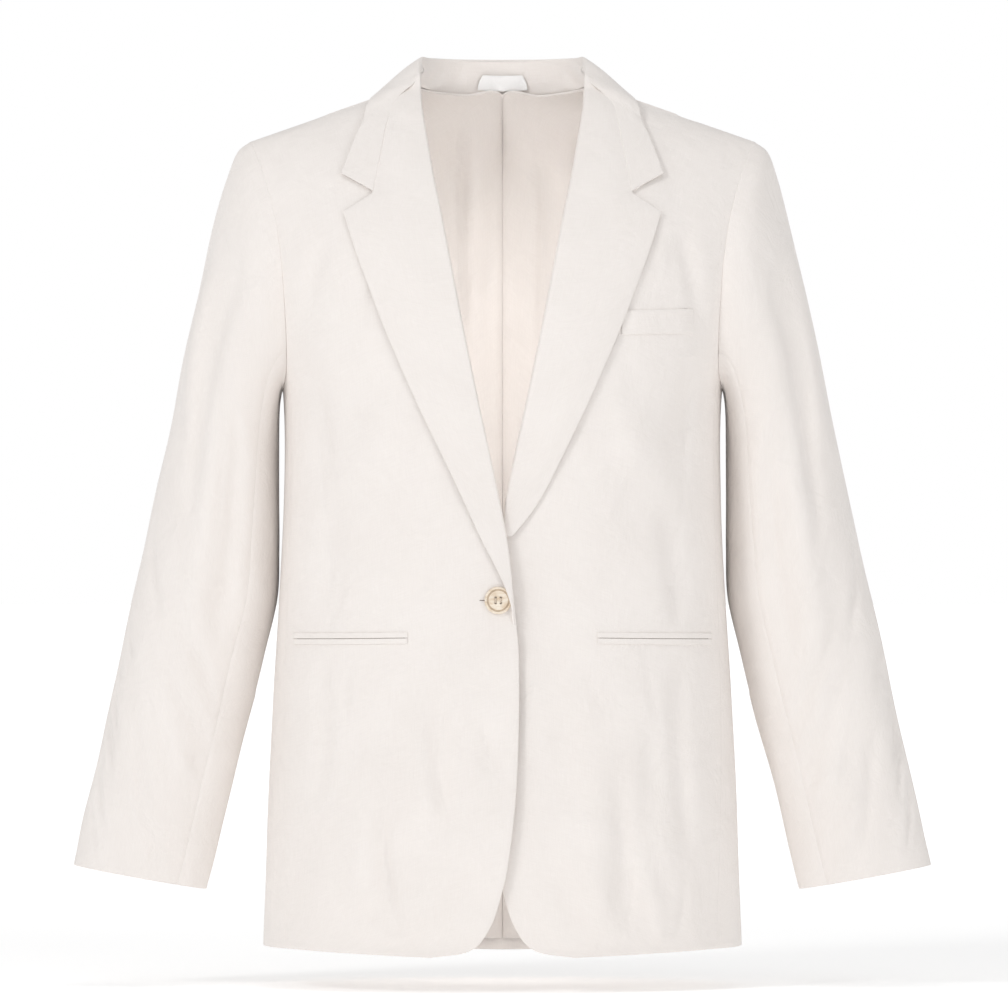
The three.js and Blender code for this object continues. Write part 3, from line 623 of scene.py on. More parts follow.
def panel(side, rows, face, row_count, column_count, inner_inset=0.0):
    """Lateral distance and height of a front's or back's points, and its true side edge."""
    at, values = row_values(rows, row_count)
    ring = armhole(side)
    heights = side_heights(rows, at)
    ends = []
    for number, z in zip(at, heights):
        if number <= LAST_ARMHOLE_ROW:
            ends.append(ring(number if face == "front" else RING_POINTS - number))
        else:
            ends.append(side_point(side, seam_depth[face](z), z, face))
    ends = np.array(ends)
    share = np.sin(COLUMN_ARC * np.linspace(0, 1, column_count)) / math.sin(COLUMN_ARC)
    bow = BACK_HEM_BOW * smoothstep(at, *BOWED_ROWS) if face == "back" else np.zeros_like(at)
    edge = values["edge"] + inner_inset * roll_share(at, face)
    lateral = edge[:, None] + (side * ends[:, 0] - edge)[:, None] * share
    z = values["edge_z"][:, None] + (ends[:, 2] - values["edge_z"])[:, None] * share ** (1 + bow[:, None])
    return lateral, z, ends


def roll_share(at, face):
    """1 where the front ends at the lapel's roll and 0 where it has a free edge."""
    if face == "back":
        return np.zeros_like(at)
    return 1 - smoothstep(at, BREAK_ROW - 1.0, BREAK_ROW)


def front(side, name):
    inset = FOLD_RADIUS + ROLL_CLEARANCE
    lateral, z, ends = panel(side, FRONT_ROWS, "front", PANEL_ROWS, FRONT_COLUMNS, inset)
    grid, normal = front_point(side, lateral, z)
    grid[:, -1] = ends
    normal[:, -1] = normals_of(grid, side)[:, -2]
    return shell(f"front_{name}_cloth", grid, -side, CLOTH, normal)


def back_lift(side, lateral, z):
    fade = side_fade(lateral) * smoothstep(lateral, 0, CENTRE_FADE)
    rows = dict(BACK_CREASES)
    if side == LEFT:
        for name, shift in LEFT_BACK_SHIFT.items():
            rows[name] = rows[name] + shift
    place = on_form(side, lateral, z, "back")
    return (creased(lateral, z, rows, BACK_RELIEF) + soft_waves(place, WAVES, 2.0)) * fade


def back_grid(side, rows=PANEL_ROWS, columns=BACK_COLUMNS):
    """The back's outer face and its normals."""
    lateral, z, ends = panel(side, BACK_ROWS, "back", rows, columns)
    grid, normal = lifted(side, lateral, z, "back", back_lift(side, lateral, z))
    grid[:, -1] = ends
    return grid, normal


def meet_at_centre(grid, side, gap):
    """Below the neckline, the first column runs straight down the centre seam."""
    below = side * grid[:, 0, 0] < 2
    grid[below, 0, 0] = side * gap


def back(side, name):
    grid, normal = back_grid(side)
    meet_at_centre(grid, side, SEAM_GAP / 2)
    return shell(f"back_{name}_cloth", grid, side, CLOTH, normal)


def side_panel(side, name):
    ring = armhole(side)
    upper = len(ARMHOLE_UPPER["z"])
    numbers = np.linspace(upper, RING_POINTS - upper, SIDE_COLUMNS)
    share = (numbers - upper) / (RING_POINTS - 2 * upper)
    top = ring(numbers)
    bottom_z = FRONT_ROWS["side_z"][-1]
    grid = [top]
    for down in np.linspace(0, 1, SIDE_ROWS)[1:]:
        z = top[:, 2] + (bottom_z - top[:, 2]) * down
        front_depth, back_depth = seam_depth["front"](z), seam_depth["back"](z)
        depth = -front_depth - SEAM_TUCK + (front_depth + back_depth + 2 * SEAM_TUCK) * share
        row = []
        for d, height in zip(depth, z):
            row.append(side_point(side, abs(d), height, "front" if d < 0 else "back"))
        grid.append(row)
    grid = np.array(grid)
    normal = normals_of(grid, side)
    under = np.full(SIDE_COLUMNS, SIDE_SET_IN)
    under[[0, -1]] = SIDE_EDGE_SET_IN
    grid[1:] -= (normal * under[:, None])[1:]
    calm = smoothstep(np.minimum(share, 1 - share), 0.08, 0.5)
    down = np.sin(np.pi * np.linspace(0, 1, SIDE_ROWS)) ** 0.4
    folds = SIDE_FOLDS * np.sin(grid[..., 1] / 13 + grid[..., 2] / 210)
    relief = soft_waves(grid, SIDE_WAVES, 3.0) + folds
    grid += normal * (relief * calm * down[:, None])[..., None]
    return shell(f"side_{name}_cloth", grid, side, CLOTH)


def back_lining(side, name):
    grid, normal = back_grid(side, LINING_ROWS, LINING_COLUMNS)
    grid, normal = grid[1:-4], normal[1:-4]  # from the collar's seam down to the turned-up hem
    lateral = side * grid[..., 0]
    z = grid[..., 2]
    ripples = 0.5 * np.sin(lateral / 8 + 0.8 * np.sin(z / 70))
    folds = creased(lateral, z, LINING_CREASES[side], LINING_RELIEF) + ripples
    calm = smoothstep(-z, -4, 26) * smoothstep(175 - lateral, 0, 30) * smoothstep(lateral, -4, 4)
    inward = CLOTH + LINING_GAP + (LINING_STAND_OFF + folds) * calm
    grid = grid - normal * inward[..., None]
    meet_at_centre(grid, side, SEAM_GAP)
    return shell(f"lining_{name}_cloth", grid, side, LINING)


def hem_turnup(side, name):
    """The back's hem, turned up inside it."""
    grid, normal = back_grid(side)
    grid = grid[-TURNUP_ROWS:] - normal[-TURNUP_ROWS:] * (CLOTH + SEAM_GAP)
    meet_at_centre(grid, side, SEAM_GAP / 2)
    return shell(f"hem_turnup_{name}_cloth", grid[:, :-1], side, LINING)


# ---- sleeves ----

# Folds of the sleeve: ring angle in degrees and distance down the sleeve in millimetres at both ends.
SLEEVE_CREASES = table(
    CREASE_COLUMNS,
    (60, 40, 66, 250, 9, -2.6, 4),
    (30, 60, 38, 210, 12, 2.0, -3),
    (100, 90, 104, 270, 10, -2.4, -4),
    (82, 150, 84, 330, 14, 2.2, 3),
    (118, 300, 70, 322, 9, -2.2, 4),
    (124, 338, 80, 352, 8, -1.8, -3),
    (116, 372, 90, 396, 8, 1.7, 3),
    (20, 330, 58, 344, 9, -1.4, 3),
    (12, 470, 40, 486, 7, -1.6, 3),
    (8, 500, 44, 506, 6, -1.5, -2),
    (14, 532, 52, 546, 7, -1.3, 3),
    (60, 430, 88, 470, 10, -1.5, 4),
    (96, 450, 112, 540, 9, -1.7, -3),
    (250, 80, 262, 280, 14, -2.6, 5),
    (300, 120, 292, 320, 14, -2.2, -5),
    (236, 330, 285, 350, 11, -2.6, 5),
    (232, 362, 290, 372, 10, -2.2, -4),
    (240, 400, 300, 420, 9, 1.8, 4),
    (270, 450, 280, 560, 12, -1.8, 4),
    (46, 60, 56, 190, 3.5, -0.8, 3),
    (84, 110, 92, 230, 3.5, -0.7, -3),
    (16, 410, 46, 418, 3.2, -0.8, 2),
    (10, 446, 34, 458, 3.0, -0.7, -2),
    (70, 352, 98, 366, 3.2, -0.7, 2),
    (24, 560, 60, 570, 3.2, -0.6, 2),
    (262, 300, 296, 312, 3.5, -0.8, 2),
)
SLEEVE_RADIUS = 57.0  # turns ring angles into distances round the sleeve
LEFT_SLEEVE_DROP = 14  # how much lower the left sleeve's creases begin


def sleeve_creases(side):
    """The sleeve's creases, in millimetres round it and down it."""
    drop = LEFT_SLEEVE_DROP if side == LEFT else 0
    rows = dict(SLEEVE_CREASES)
    for name in ("x0", "x1"):
        rows[name] = np.radians(rows[name]) * SLEEVE_RADIUS
    rows["z0"] = rows["z0"] + drop
    rows["z1"] = rows["z1"] + drop * 1.5
    return rows


def sleeve_grid(side, from_number, to_number, columns):
    """The outer face of one part of the sleeve, between two ring numbers."""
    numbers = np.linspace(from_number, to_number, columns)
    last = len(SLEEVE_RINGS["half"]) - 1
    at = np.linspace(0, last, SLEEVE_ROWS)
    ring = {name: values[:, None] for name, values in resampled(SLEEVE_RINGS, at).items()}
    angle = 2 * np.pi * numbers / RING_POINTS

    def oval(r):
        middle, reach = (r["outer"] + r["inner"]) / 2, (r["outer"] - r["inner"]) / 2
        middle_z, reach_z = (r["outer_z"] + r["inner_z"]) / 2, (r["outer_z"] - r["inner_z"]) / 2
        x = side * (middle + np.cos(angle) * reach)
        y = r["back"] - np.sin(angle) * r["half"]
        return np.stack([x, y, middle_z + np.cos(angle) * reach_z], -1)

    first = {name: np.array([[values[0]]]) for name, values in SLEEVE_RINGS.items()}
    seam = armhole(side)(numbers)
    seam[:, 0] += side * SEAM_GAP * 1.4
    grid = oval(ring) + ring["follow"][..., None] * (seam[None] - oval(first))
    normal = normals_of(grid, -side)
    down = np.linalg.norm(grid - grid[:1], axis=-1)
    turned = np.mod(angle, 2 * np.pi)
    around = turned[None] * SLEEVE_RADIUS + 0 * down
    creases = creased(around, down, sleeve_creases(side), SLEEVE_RELIEF)
    relief = creases + soft_waves(grid, SLEEVE_WAVES, 4.0 + side)
    ends = smoothstep(down, 4, 30) * (1 - 0.7 * smoothstep(at, last - 0.8, last)[:, None])
    underarm = 1 - 0.85 * np.exp(-(((turned - np.pi) / 0.7) ** 2)) * (down < 260)
    from_seam = smoothstep(np.abs(numbers - from_number), 0, 0.5)
    to_seam = smoothstep(np.abs(numbers - to_number), 0, 0.5)
    dip = SEAM_DIP * (1 - from_seam * to_seam)
    return grid + normal * (relief * ends * underarm - dip)[..., None]


def sleeve(side, name, part, from_number, to_number, columns):
    """One part of the sleeve. Its top row's wall doesn't lean into the body."""
    grid = sleeve_grid(side, from_number, to_number, columns)
    normal = normals_of(grid, -side)
    clear = normal[0]
    clear[:, 0] = side * np.minimum(side * clear[:, 0], 0)
    normal[0] = clear / np.linalg.norm(clear, axis=1, keepdims=True)
    return shell(f"sleeve_{part}_{name}_cloth", grid, -side, CLOTH, normal)


# ---- lapels and collar ----


def stretches(rows, breaks, spacing):
    """A row table made finer, with a sharp corner kept at each break row."""
    parts = []
    names = list(rows)
    count = len(rows[names[0]])
    limits = [0, *breaks, count - 1]
    for low, high in zip(limits[:-1], limits[1:]):
        numbers = np.arange(low, high + 1)
        length = np.hypot(np.diff(rows["edge"][numbers]), np.diff(rows["edge_z"][numbers])).sum()
        at = np.linspace(low, high, max(int(length / spacing), 3))
        parts.append({name: curve(numbers, rows[name][numbers])(at) for name in names})
        if high != limits[-1]:
            parts[-1] = {name: values[:-1] for name, values in parts[-1].items()}
    return {name: np.concatenate([part[name] for part in parts]) for name in names}


def lapel_rows(side):
    if side == RIGHT:
        return LAPEL_ROWS
    rows = {}
    for name, values in LAPEL_ROWS.items():
        rows[name] = np.concatenate([values[:LEFT_LAPEL_KEEPS], LEFT_LAPEL_END[name]])
    return rows


def lapel(side, name):
    """The turned-out facing, with its soft roll round the front's edge."""
    rows = stretches(lapel_rows(side), [NOTCH_ROW, CORNER_ROW], LAPEL_SPACING)
    share = np.linspace(0, 1, LAPEL_COLUMNS) ** 0.85
    width = (rows["edge"] - rows["roll"])[:, None]
    radius = np.minimum(FOLD_RADIUS, 0.4 + 0.15 * np.abs(width))
    start = rows["roll"][:, None] + np.minimum(radius, 0.35 * np.abs(width))
    lateral = start + (rows["edge"][:, None] - start) * share
    z = rows["roll_z"][:, None] + (rows["edge_z"] - rows["roll_z"])[:, None] * share
    swell = LAPEL_SWELL * np.sin(np.pi * share) * np.minimum(width / LAPEL_FULL_WIDTH, 1)
    lift = LAPEL_ROLL_LIFT + (LAPEL_EDGE_LIFT - LAPEL_ROLL_LIFT) * share + swell + rows["lift"][:, None]
    wave = 0.5 * np.sin(z / 23 + lateral / 31) * np.sin(np.pi * share)
    above = np.maximum(z - LAPEL_FORM_TOP, 0)
    base = on_form(side, lateral, z - above, "front")
    base[..., 1] += LAPEL_LEAN * above
    base[..., 2] += above
    normal = form_normal(side, lateral, z - above, "front")
    lift = lift + wave + lap_shift(side, lateral, z)
    flat = base + normal * lift[..., None]
    edge, facing = flat[:, 0], normal[:, 0]
    along = np.gradient(edge, axis=0)
    off = np.cross(along, facing)
    off /= np.linalg.norm(off, axis=1, keepdims=True)
    off *= -np.sign(np.sum(off * (flat[:, 1] - flat[:, 0]), axis=1, keepdims=True))
    centre = edge - facing * radius
    turn = []
    for degrees in np.linspace(175, 15, ROLL_COLUMNS):
        angle = math.radians(degrees)
        turn.append(centre + radius * (math.cos(angle) * facing + math.sin(angle) * off))
    grid = np.concatenate([np.stack(turn, 1), flat], axis=1)
    return shell(f"lapel_{name}_cloth", grid, side, CLOTH)


def bent(start, corner, end, t):
    """A curve from start to end that leans towards the corner."""
    return start * (1 - t) ** 2 + corner * 2 * t * (1 - t) + end * t**2


def table_row(rows, number):
    """One row of a table, or None past its end."""
    if number >= len(next(iter(rows.values()))):
        return None
    return {name: values[number] for name, values in rows.items()}


def collar_row(row, columns):
    """One row of the collar on the wearer's left, turned over its top edge or lying on the front."""
    share = np.linspace(0, 1, columns)
    if math.isnan(row["inner_y"]):
        lateral = row["inner"] + (row["edge"] - row["inner"]) * share
        z = row["inner_z"] + (row["edge_z"] - row["inner_z"]) * share
        return lifted(LEFT, lateral, z, "front", COLLAR_LIFT)[0]
    inner = np.array([row["inner"], row["inner_y"], row["inner_z"]])
    edge = np.array([row["edge"], row["edge_y"], row["edge_z"]])
    over = (inner + edge) / 2
    lies = min(max((inner[2] + 25) / 45, 0), 1)
    over[2] += (inner[2] - over[2]) * lies * COLLAR_TURN
    return bent(inner, over, edge, share[:, None])


def collar_under(row, stand):
    """The inner side of one collar row: the stand inside the neck, or the allowance under the gorge."""
    share = np.linspace(0, 1, STAND_COLUMNS)[:, None]
    if stand is not None:
        foot = np.array([stand["seam"], stand["seam_y"], stand["seam_z"]])
        top = np.array([stand["top"], stand["top_y"], stand["top_z"] - 0.8])
        out = np.array([foot[0], foot[1], 0.0])
        out /= np.linalg.norm(out)
        return foot + (top - foot) * share - out * 0.2
    across = ALLOWANCE_FROM - ALLOWANCE_WIDTH * share[:, 0]
    lateral = row["inner"] + (row["edge"] - row["inner"]) * across
    z = row["inner_z"] + (row["edge_z"] - row["inner_z"]) * across
    return lifted(LEFT, lateral, z, "front", COLLAR_LIFT - COLLAR_FOLD)[0]


def collar_half():
    """Rows of the collar's left half: under side, fold and fall in one sheet."""
    rows = []
    for i in range(len(COLLAR_ROWS["inner"])):
        row, stand = table_row(COLLAR_ROWS, i), table_row(STAND_ROWS, i)
        fall = collar_row(row, FALL_COLUMNS)[1:]
        under = collar_under(row, stand)
        corner = collar_row(row, 2)[0]
        start, end = under[-1], fall[0]
        if stand is None:
            corner = (start + end) / 2 + (corner - end) * 1.1
        else:
            corner = np.array([start[0], start[1], corner[2]])
        turn = bent(start, corner, end, np.linspace(0, 1, TURN_COLUMNS)[1:-1, None])
        rows.append(np.concatenate([under, turn, fall]))
    return np.array(rows)


def collar():
    half = collar_half()
    mirrored = half[:0:-1] * np.array([-1, 1, 1])
    coarse = np.concatenate([mirrored, half])
    numbers = np.arange(len(coarse))
    at = np.linspace(0, numbers[-1], COLLAR_MESH_ROWS)
    lines = [[curve(numbers, coarse[:, j, k])(at) for k in range(3)] for j in range(coarse.shape[1])]
    grid = np.array(lines).transpose(2, 0, 1)
    normal = normals_of(grid, 1)
    inside = smoothstep(11 - np.arange(grid.shape[1]), 0, 4) * smoothstep(np.arange(grid.shape[1]), 0, 2)
    centre = (len(coarse) - 1) / 2
    beyond = np.abs(at - centre)[:, None]
    corner = np.exp(-(((beyond - 2.3) / 0.7) ** 2)) * inside
    x, z = grid[..., 0], grid[..., 2]
    pucker = corner * 1.2 * np.sin((np.abs(x) + 0.8 * z) / 3.1)
    slack = 0.3 * np.sin(x / 11 + 1) * inside * (beyond < 4)
    grid = grid + normal * (pucker + slack)[..., None]
    return shell("collar_cloth", grid, 1, CLOTH)


def stand_point(seam, share):
    """A point of the collar's stand, by its place along the seam and its share of the height."""
    right_half = {name: values[:0:-1] for name, values in STAND_ROWS.items()}
    seams = np.concatenate([-right_half["seam"], STAND_ROWS["seam"]])
    right_half["top"] = -right_half["top"]
    at = {}
    for name in ("seam_y", "seam_z", "top", "top_y", "top_z"):
        at[name] = curve(seams, np.concatenate([right_half[name], STAND_ROWS[name]]))(seam)
    foot = np.stack([seam, at["seam_y"], at["seam_z"]], -1)
    top = np.stack([at["top"], at["top_y"], at["top_z"]], -1)
    return foot + (top - foot) * share[..., None]


def neck_label():
    """A blank tape on the stand, narrower at the top."""
    width = LABEL_WIDTH - LABEL_TAPER * np.linspace(0, 1, LABEL_MESH_ROWS) ** 1.6
    across = np.linspace(-0.5, 0.5, LABEL_COLUMNS)
    seam = width[:, None] * across
    share = np.linspace(*LABEL_SPAN, LABEL_MESH_ROWS)[:, None] + 0 * seam
    grid = stand_point(seam, share)
    normal = normals_of(grid, -1)
    grid = grid + normal * (LABEL_LIFT + LABEL_BELLY * np.cos(np.pi * across))[None, :, None]
    return shell("label_tape", grid, -1, LABEL_CLOTH)


# ---- pockets ----


def pocket_strip(side, name, low, high, top, bottom, drop):
    """A narrow strip of cloth on the front, between two heights."""
    lateral = np.linspace(low, high, STRIP_COLUMNS)[None] + np.zeros((STRIP_ROWS, 1))
    share = (lateral - low) / (high - low)
    z = np.linspace(top, bottom, STRIP_ROWS)[:, None] - drop * share
    grid, normal = front_point(side, lateral, z, STRIP_LIFT)
    return shell(name, grid, -side, STRIP_CLOTH, normal)


def pocket_slit(side, name, low, high, z, drop, half_height):
    """The dark mouth of a pocket, a thin uneven lens of painted shade."""
    share = np.linspace(0, 1, SLIT_COLUMNS)[None]
    lateral = low + (high - low) * share
    open_by = half_height * np.sin(np.pi * share) ** 0.5 * (0.75 + 0.25 * np.sin(9 * share + side))
    height = z - drop * share + np.array([[1.0], [0.0], [-1.0]]) * open_by
    grid, normal = front_point(side, lateral + 0 * height, height, SLIT_LIFT)
    return shell(name, grid, -side, SLIT_CLOTH, normal)


# ---- button ----


def lathe(name, rings, around):
    """A turned solid about +Z, capped flat at its first and last rings of radius and height."""
    points, faces = [], []
    angles = 2 * math.pi * np.arange(around) / around
    for radius, height in rings:
        points += [(radius * math.cos(a), radius * math.sin(a), height) for a in angles]
    last = (len(rings) - 1) * around
    for k in range(0, last, around):
        for i in range(around):
            j = (i + 1) % around
            faces.append((k + i, k + j, k + around + j, k + around + i))
    faces.append(tuple(range(around))[::-1])
    faces.append(tuple(last + i for i in range(around)))
    return add_mesh(name, points, faces)


# Rings of the button: distance in from its edge, with the height above its back or the depth below its front.
BUTTON_BACK = (1.6, 0), (0.7, 0.25), (0.1, 0.9), (0, 1.4)
BUTTON_FRONT = (0.15, 0.6), (0.6, 0.1), (1.2, 0), (1.9, 0.05), (2.6, 0.35), (3.4, 0.62), (4.6, 0.72)


def button():
    """The four-hole button, with a raised rim, a ring of painted shade on the rim's inner slope and a dished
    middle.
    """
    r, t = BUTTON_RADIUS, BUTTON_THICKNESS
    rings = [(r - inset, height) for inset, height in BUTTON_BACK]
    rings += [(r - inset, t - depth) for inset, depth in BUTTON_FRONT]
    body = lathe("button_horn", rings, 72)
    for i in (-1, 1):
        for j in (-1, 1):
            hole = lathe("hole", [(BUTTON_HOLE_RADIUS, -1), (BUTTON_HOLE_RADIUS, t + 1)], 20)
            hole.location = (i * BUTTON_HOLE_OFFSET, j * BUTTON_HOLE_OFFSET, 0)
            cut = body.modifiers.new("cut", "BOOLEAN")
            cut.operation, cut.object, cut.solver = "DIFFERENCE", hole, "EXACT"
            bpy.context.view_layer.update()
            apply_modifiers(body)
            bpy.data.objects.remove(hole)
    # The faces on the rim's inner slope take a darker horn: painted shade in that recess.
    nearest, farthest = BUTTON_SHADE_RING
    centres = [face.center for face in body.data.polygons]
    in_shade_ring = [c.z > t / 2 and r - farthest < math.hypot(c.x, c.y) < r - nearest for c in centres]
    place_on_front(body)
    smooth_faces(body.data)
    body.data.set_sharp_from_angle(angle=math.radians(40))
    dress(body, HORN, "button", "button")
    body.data.materials.append(PAINTED_SHADE_HORN)
    body.data.polygons.foreach_set("material_index", [int(dark) for dark in in_shade_ring])


def apply_modifiers(piece):
    graph = bpy.context.evaluated_depsgraph_get()
    mesh = bpy.data.meshes.new_from_object(piece.evaluated_get(graph))
    piece.modifiers.clear()
    piece.data = mesh


def place_on_front(piece):
    """Moves a mesh made in millimetres about +Z to the button's place, facing out."""
    lateral = np.array([RIGHT * BUTTON_X])
    point, normal = front_point(RIGHT, lateral, np.array([BUTTON_Z]), BUTTON_LIFT)
    n = normal[0]
    up = np.array([0, 0, 1.0])
    right = np.cross(up, n)
    right /= np.linalg.norm(right)
    up = np.cross(n, right)
    turn = np.stack([right, up, n], 1)
    count = len(piece.data.vertices)
    co = np.zeros(count * 3)
    piece.data.vertices.foreach_get("co", co)
    co = (co.reshape(-1, 3) @ turn.T + point[0]) * MM
    piece.data.vertices.foreach_set("co", co.ravel())
    piece.data.update()


def thread_tube(name, routes, radius, sides=8):
    """Round threads along polylines, joined in one mesh."""
    points, faces = [], []
    for route in routes:
        route = np.asarray(route, float)
        tangent = np.gradient(route, axis=0)
        tangent /= np.maximum(np.linalg.norm(tangent, axis=1, keepdims=True), 1e-9)
        guide = np.array([0.3, 0.2, 1.0])
        a = np.cross(tangent, guide)
        a /= np.maximum(np.linalg.norm(a, axis=1, keepdims=True), 1e-9)
        b = np.cross(tangent, a)
        start = len(points)
        for p, u, v in zip(route, a, b):
            for k in range(sides):
                angle = 2 * math.pi * k / sides
                points.append(p + radius * (math.cos(angle) * u + math.sin(angle) * v))
        end = start + (len(route) - 1) * sides
        for q in range(start, end, sides):
            for k in range(sides):
                m = (k + 1) % sides
                faces.append((q + k, q + m, q + sides + m, q + sides + k))
        for ring in (start, end):
            for k in range(1, sides - 1):
                faces.append((ring, ring + k, ring + k + 1))
    piece = add_mesh(name, [tuple(p) for p in points], faces)
    smooth_faces(piece.data)
    return piece


def button_thread():
    """Two parallel bars of thread through the four holes."""
    top = BUTTON_THICKNESS - 0.45
    arc = np.linspace(-1, 1, 9)
    rise = top + 0.25 * (1 - arc**2) - 7.2 * np.maximum(np.abs(arc) - 0.85, 0)
    routes = []
    for x in (-BUTTON_HOLE_OFFSET, BUTTON_HOLE_OFFSET):
        for k in (-0.45, -0.15, 0.15, 0.45):
            routes.append(np.stack([x + k + 0 * arc, BUTTON_HOLE_OFFSET * arc, rise], 1))
    piece = thread_tube("button_thread", routes, THREAD_RADIUS)
    place_on_front(piece)
    return piece


# ---- materials ----


def new_material(name):
    material = bpy.data.materials.new(name)
    material.use_nodes = True
    tree = material.node_tree
    tree.nodes.clear()
    out = tree.nodes.new("ShaderNodeOutputMaterial")
    shader = tree.nodes.new("ShaderNodeBsdfPrincipled")
    tree.links.new(shader.outputs[0], out.inputs[0])
    return material, tree, shader


def node(tree, kind, inputs=None, **settings):
    made = tree.nodes.new(kind)
    for name, value in settings.items():
        setattr(made, name, value)
    for name, value in (inputs or {}).items():
        if isinstance(value, bpy.types.NodeSocket):
            tree.links.new(value, made.inputs[name])
        else:
            made.inputs[name].default_value = value
    return made


def math_node(tree, operation, a, b=0.0):
    return node(tree, "ShaderNodeMath", {0: a, 1: b}, operation=operation).outputs[0]


def plus(tree, a, b):
    return math_node(tree, "ADD", a, b)


def times(tree, a, b):
    return math_node(tree, "MULTIPLY", a, b)


def noise(tree, place, scale, detail, distortion=0.0):
    inputs = {"Vector": place, "Scale": scale, "Detail": detail, "Distortion": distortion}
    return node(tree, "ShaderNodeTexNoise", inputs).outputs["Fac"]


def stretched(tree, place, scale):
    return node(tree, "ShaderNodeMapping", {"Vector": place, "Scale": scale}).outputs[0]


def object_place(tree):
    return node(tree, "ShaderNodeTexCoord").outputs["Object"]


def bump(tree, height, strength, distance):
    return node(tree, "ShaderNodeBump", {"Height": height, "Strength": strength, "Distance": distance})


def two_tone(tree, shader, tone, dark, light, low=0.0, high=1.0):
    """Colours the shader from dark to light as the tone goes from low to high."""
    ramp = node(tree, "ShaderNodeValToRGB", {"Fac": tone})
    for stop, position, colour in zip(ramp.color_ramp.elements, (low, high), (dark, light)):
        stop.position = position
        stop.color = (*colour, 1)
    tree.links.new(ramp.outputs[0], shader.inputs["Base Color"])


def set_inputs(shader, inputs):
    for name, value in inputs.items():
        shader.inputs[name].default_value = value


def cloth_material(name, roughness, pitch, depth, slub, sheen):
    """A plain weave with uneven slubs in both directions. pitch is the yarn spacing in metres."""
    material, tree, shader = new_material(name)
    uv = node(tree, "ShaderNodeUVMap", uv_map="cloth").outputs[0]
    shift = times(tree, noise(tree, uv, 90.0, 2.0), 2.6)
    turns = math.pi / pitch
    parts = node(tree, "ShaderNodeSeparateXYZ", {0: uv})
    warp, weft = (
        math_node(tree, "SINE", plus(tree, times(tree, parts.outputs[k], turns), shift)) for k in (0, 1)
    )
    weave = times(tree, warp, weft)
    slub_u = noise(tree, stretched(tree, uv, (60.0, 1400.0, 1.0)), 1.0, 3.0)
    slub_v = noise(tree, stretched(tree, uv, (1400.0, 60.0, 1.0)), 1.0, 3.0)
    slubs = plus(tree, slub_u, slub_v)
    cloud = noise(tree, uv, 14.0, 4.0)
    tone = plus(tree, times(tree, slubs, 0.35), times(tree, cloud, 0.4))
    tone = plus(tree, tone, times(tree, weave, 0.06))
    two_tone(tree, shader, tone, *TONES[name], 0.3, 0.8)
    crumple = noise(tree, object_place(tree), 24.0, 5.0, 0.5)
    height = plus(tree, times(tree, weave, 0.5), times(tree, slubs, slub))
    surface = bump(tree, height, 0.35, depth)
    tree.links.new(bump(tree, crumple, 0.5, CRUMPLE_DEPTH).outputs[0], surface.inputs["Normal"])
    tree.links.new(surface.outputs[0], shader.inputs["Normal"])
    set_inputs(shader, {"Roughness": roughness, "Specular IOR Level": 0.25})
    set_inputs(shader, {"Sheen Weight": sheen, "Sheen Roughness": 0.45})
    return material


def horn_material(name, dark, light):
    """Horn with soft streaks."""
    material, tree, shader = new_material(name)
    place = object_place(tree)
    grain = noise(tree, stretched(tree, place, (120.0, 60.0, 340.0)), 1.0, 5.0)
    two_tone(tree, shader, grain, dark, light, 0.3, 0.7)
    surface = bump(tree, noise(tree, place, 900.0, 2.0), 0.15, FINE_DEPTH)
    tree.links.new(surface.outputs[0], shader.inputs["Normal"])
    tree.links.new(plus(tree, times(tree, grain, 0.2), 0.25), shader.inputs["Roughness"])
    set_inputs(shader, {"Coat Weight": 0.2, "Coat Roughness": 0.25})
    return material


def thread_material():
    """Twisted brown thread."""
    material, tree, shader = new_material("button_thread")
    inputs = {"Vector": object_place(tree), "Scale": 900.0, "Distortion": 1.0}
    twist = node(tree, "ShaderNodeTexWave", inputs).outputs["Fac"]
    two_tone(tree, shader, twist, (0.52, 0.42, 0.33), (0.78, 0.68, 0.56))
    tree.links.new(bump(tree, twist, 0.4, FINE_DEPTH).outputs[0], shader.inputs["Normal"])
    set_inputs(shader, {"Roughness": 0.7})
    return material


CRUMPLE_DEPTH = 0.008  # metres
FINE_DEPTH = 0.0002  # metres
TONES = {
    "ivory_linen": ((0.85, 0.798, 0.76), (0.93, 0.885, 0.852)),
    "beige_lining": ((0.74, 0.69, 0.655), (0.83, 0.785, 0.75)),
    "white_tape": ((0.92, 0.915, 0.91), (0.97, 0.965, 0.96)),
    # pocket_shade is the dark tone of painted shade in the pocket mouths and the buttonhole.
    "pocket_shade": ((0.16, 0.13, 0.11), (0.24, 0.20, 0.17)),
}
IVORY = cloth_material("ivory_linen", roughness=0.92, pitch=0.00055, depth=0.00022, slub=0.7, sheen=0.25)
SATIN = cloth_material("beige_lining", roughness=0.5, pitch=0.0003, depth=0.0001, slub=0.3, sheen=0.1)
TAPE = cloth_material("white_tape", roughness=0.6, pitch=0.0003, depth=0.0001, slub=0.3, sheen=0.1)
SHADE = cloth_material("pocket_shade", roughness=0.9, pitch=0.0005, depth=0.0001, slub=0.3, sheen=0.0)
HORN = horn_material("horn_button", (0.72, 0.57, 0.41), (0.97, 0.89, 0.77))
# A darker horn that paints shade on the inner slope of the button's rim.
PAINTED_SHADE_HORN = horn_material("horn_button_painted_shade", (0.40, 0.29, 0.19), (0.66, 0.52, 0.38))
THREAD = thread_material()


def dress(piece, material, slot, *replaced):
    piece.data.materials.clear()
    piece.data.materials.append(material)
    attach(piece, "root")
    if replaced:
        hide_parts(*replaced)
    return piece


# ---- the blazer ----


def sheet(piece, rests_on=(), with_pieces=()):
    """Takes a piece with the pieces it rests on and comes with, and does nothing with them."""
    rests_on, with_pieces = list(rests_on), list(with_pieces)


def dress_cloth(piece, *replaced):
    return dress(piece, IVORY, "cloth", *replaced)


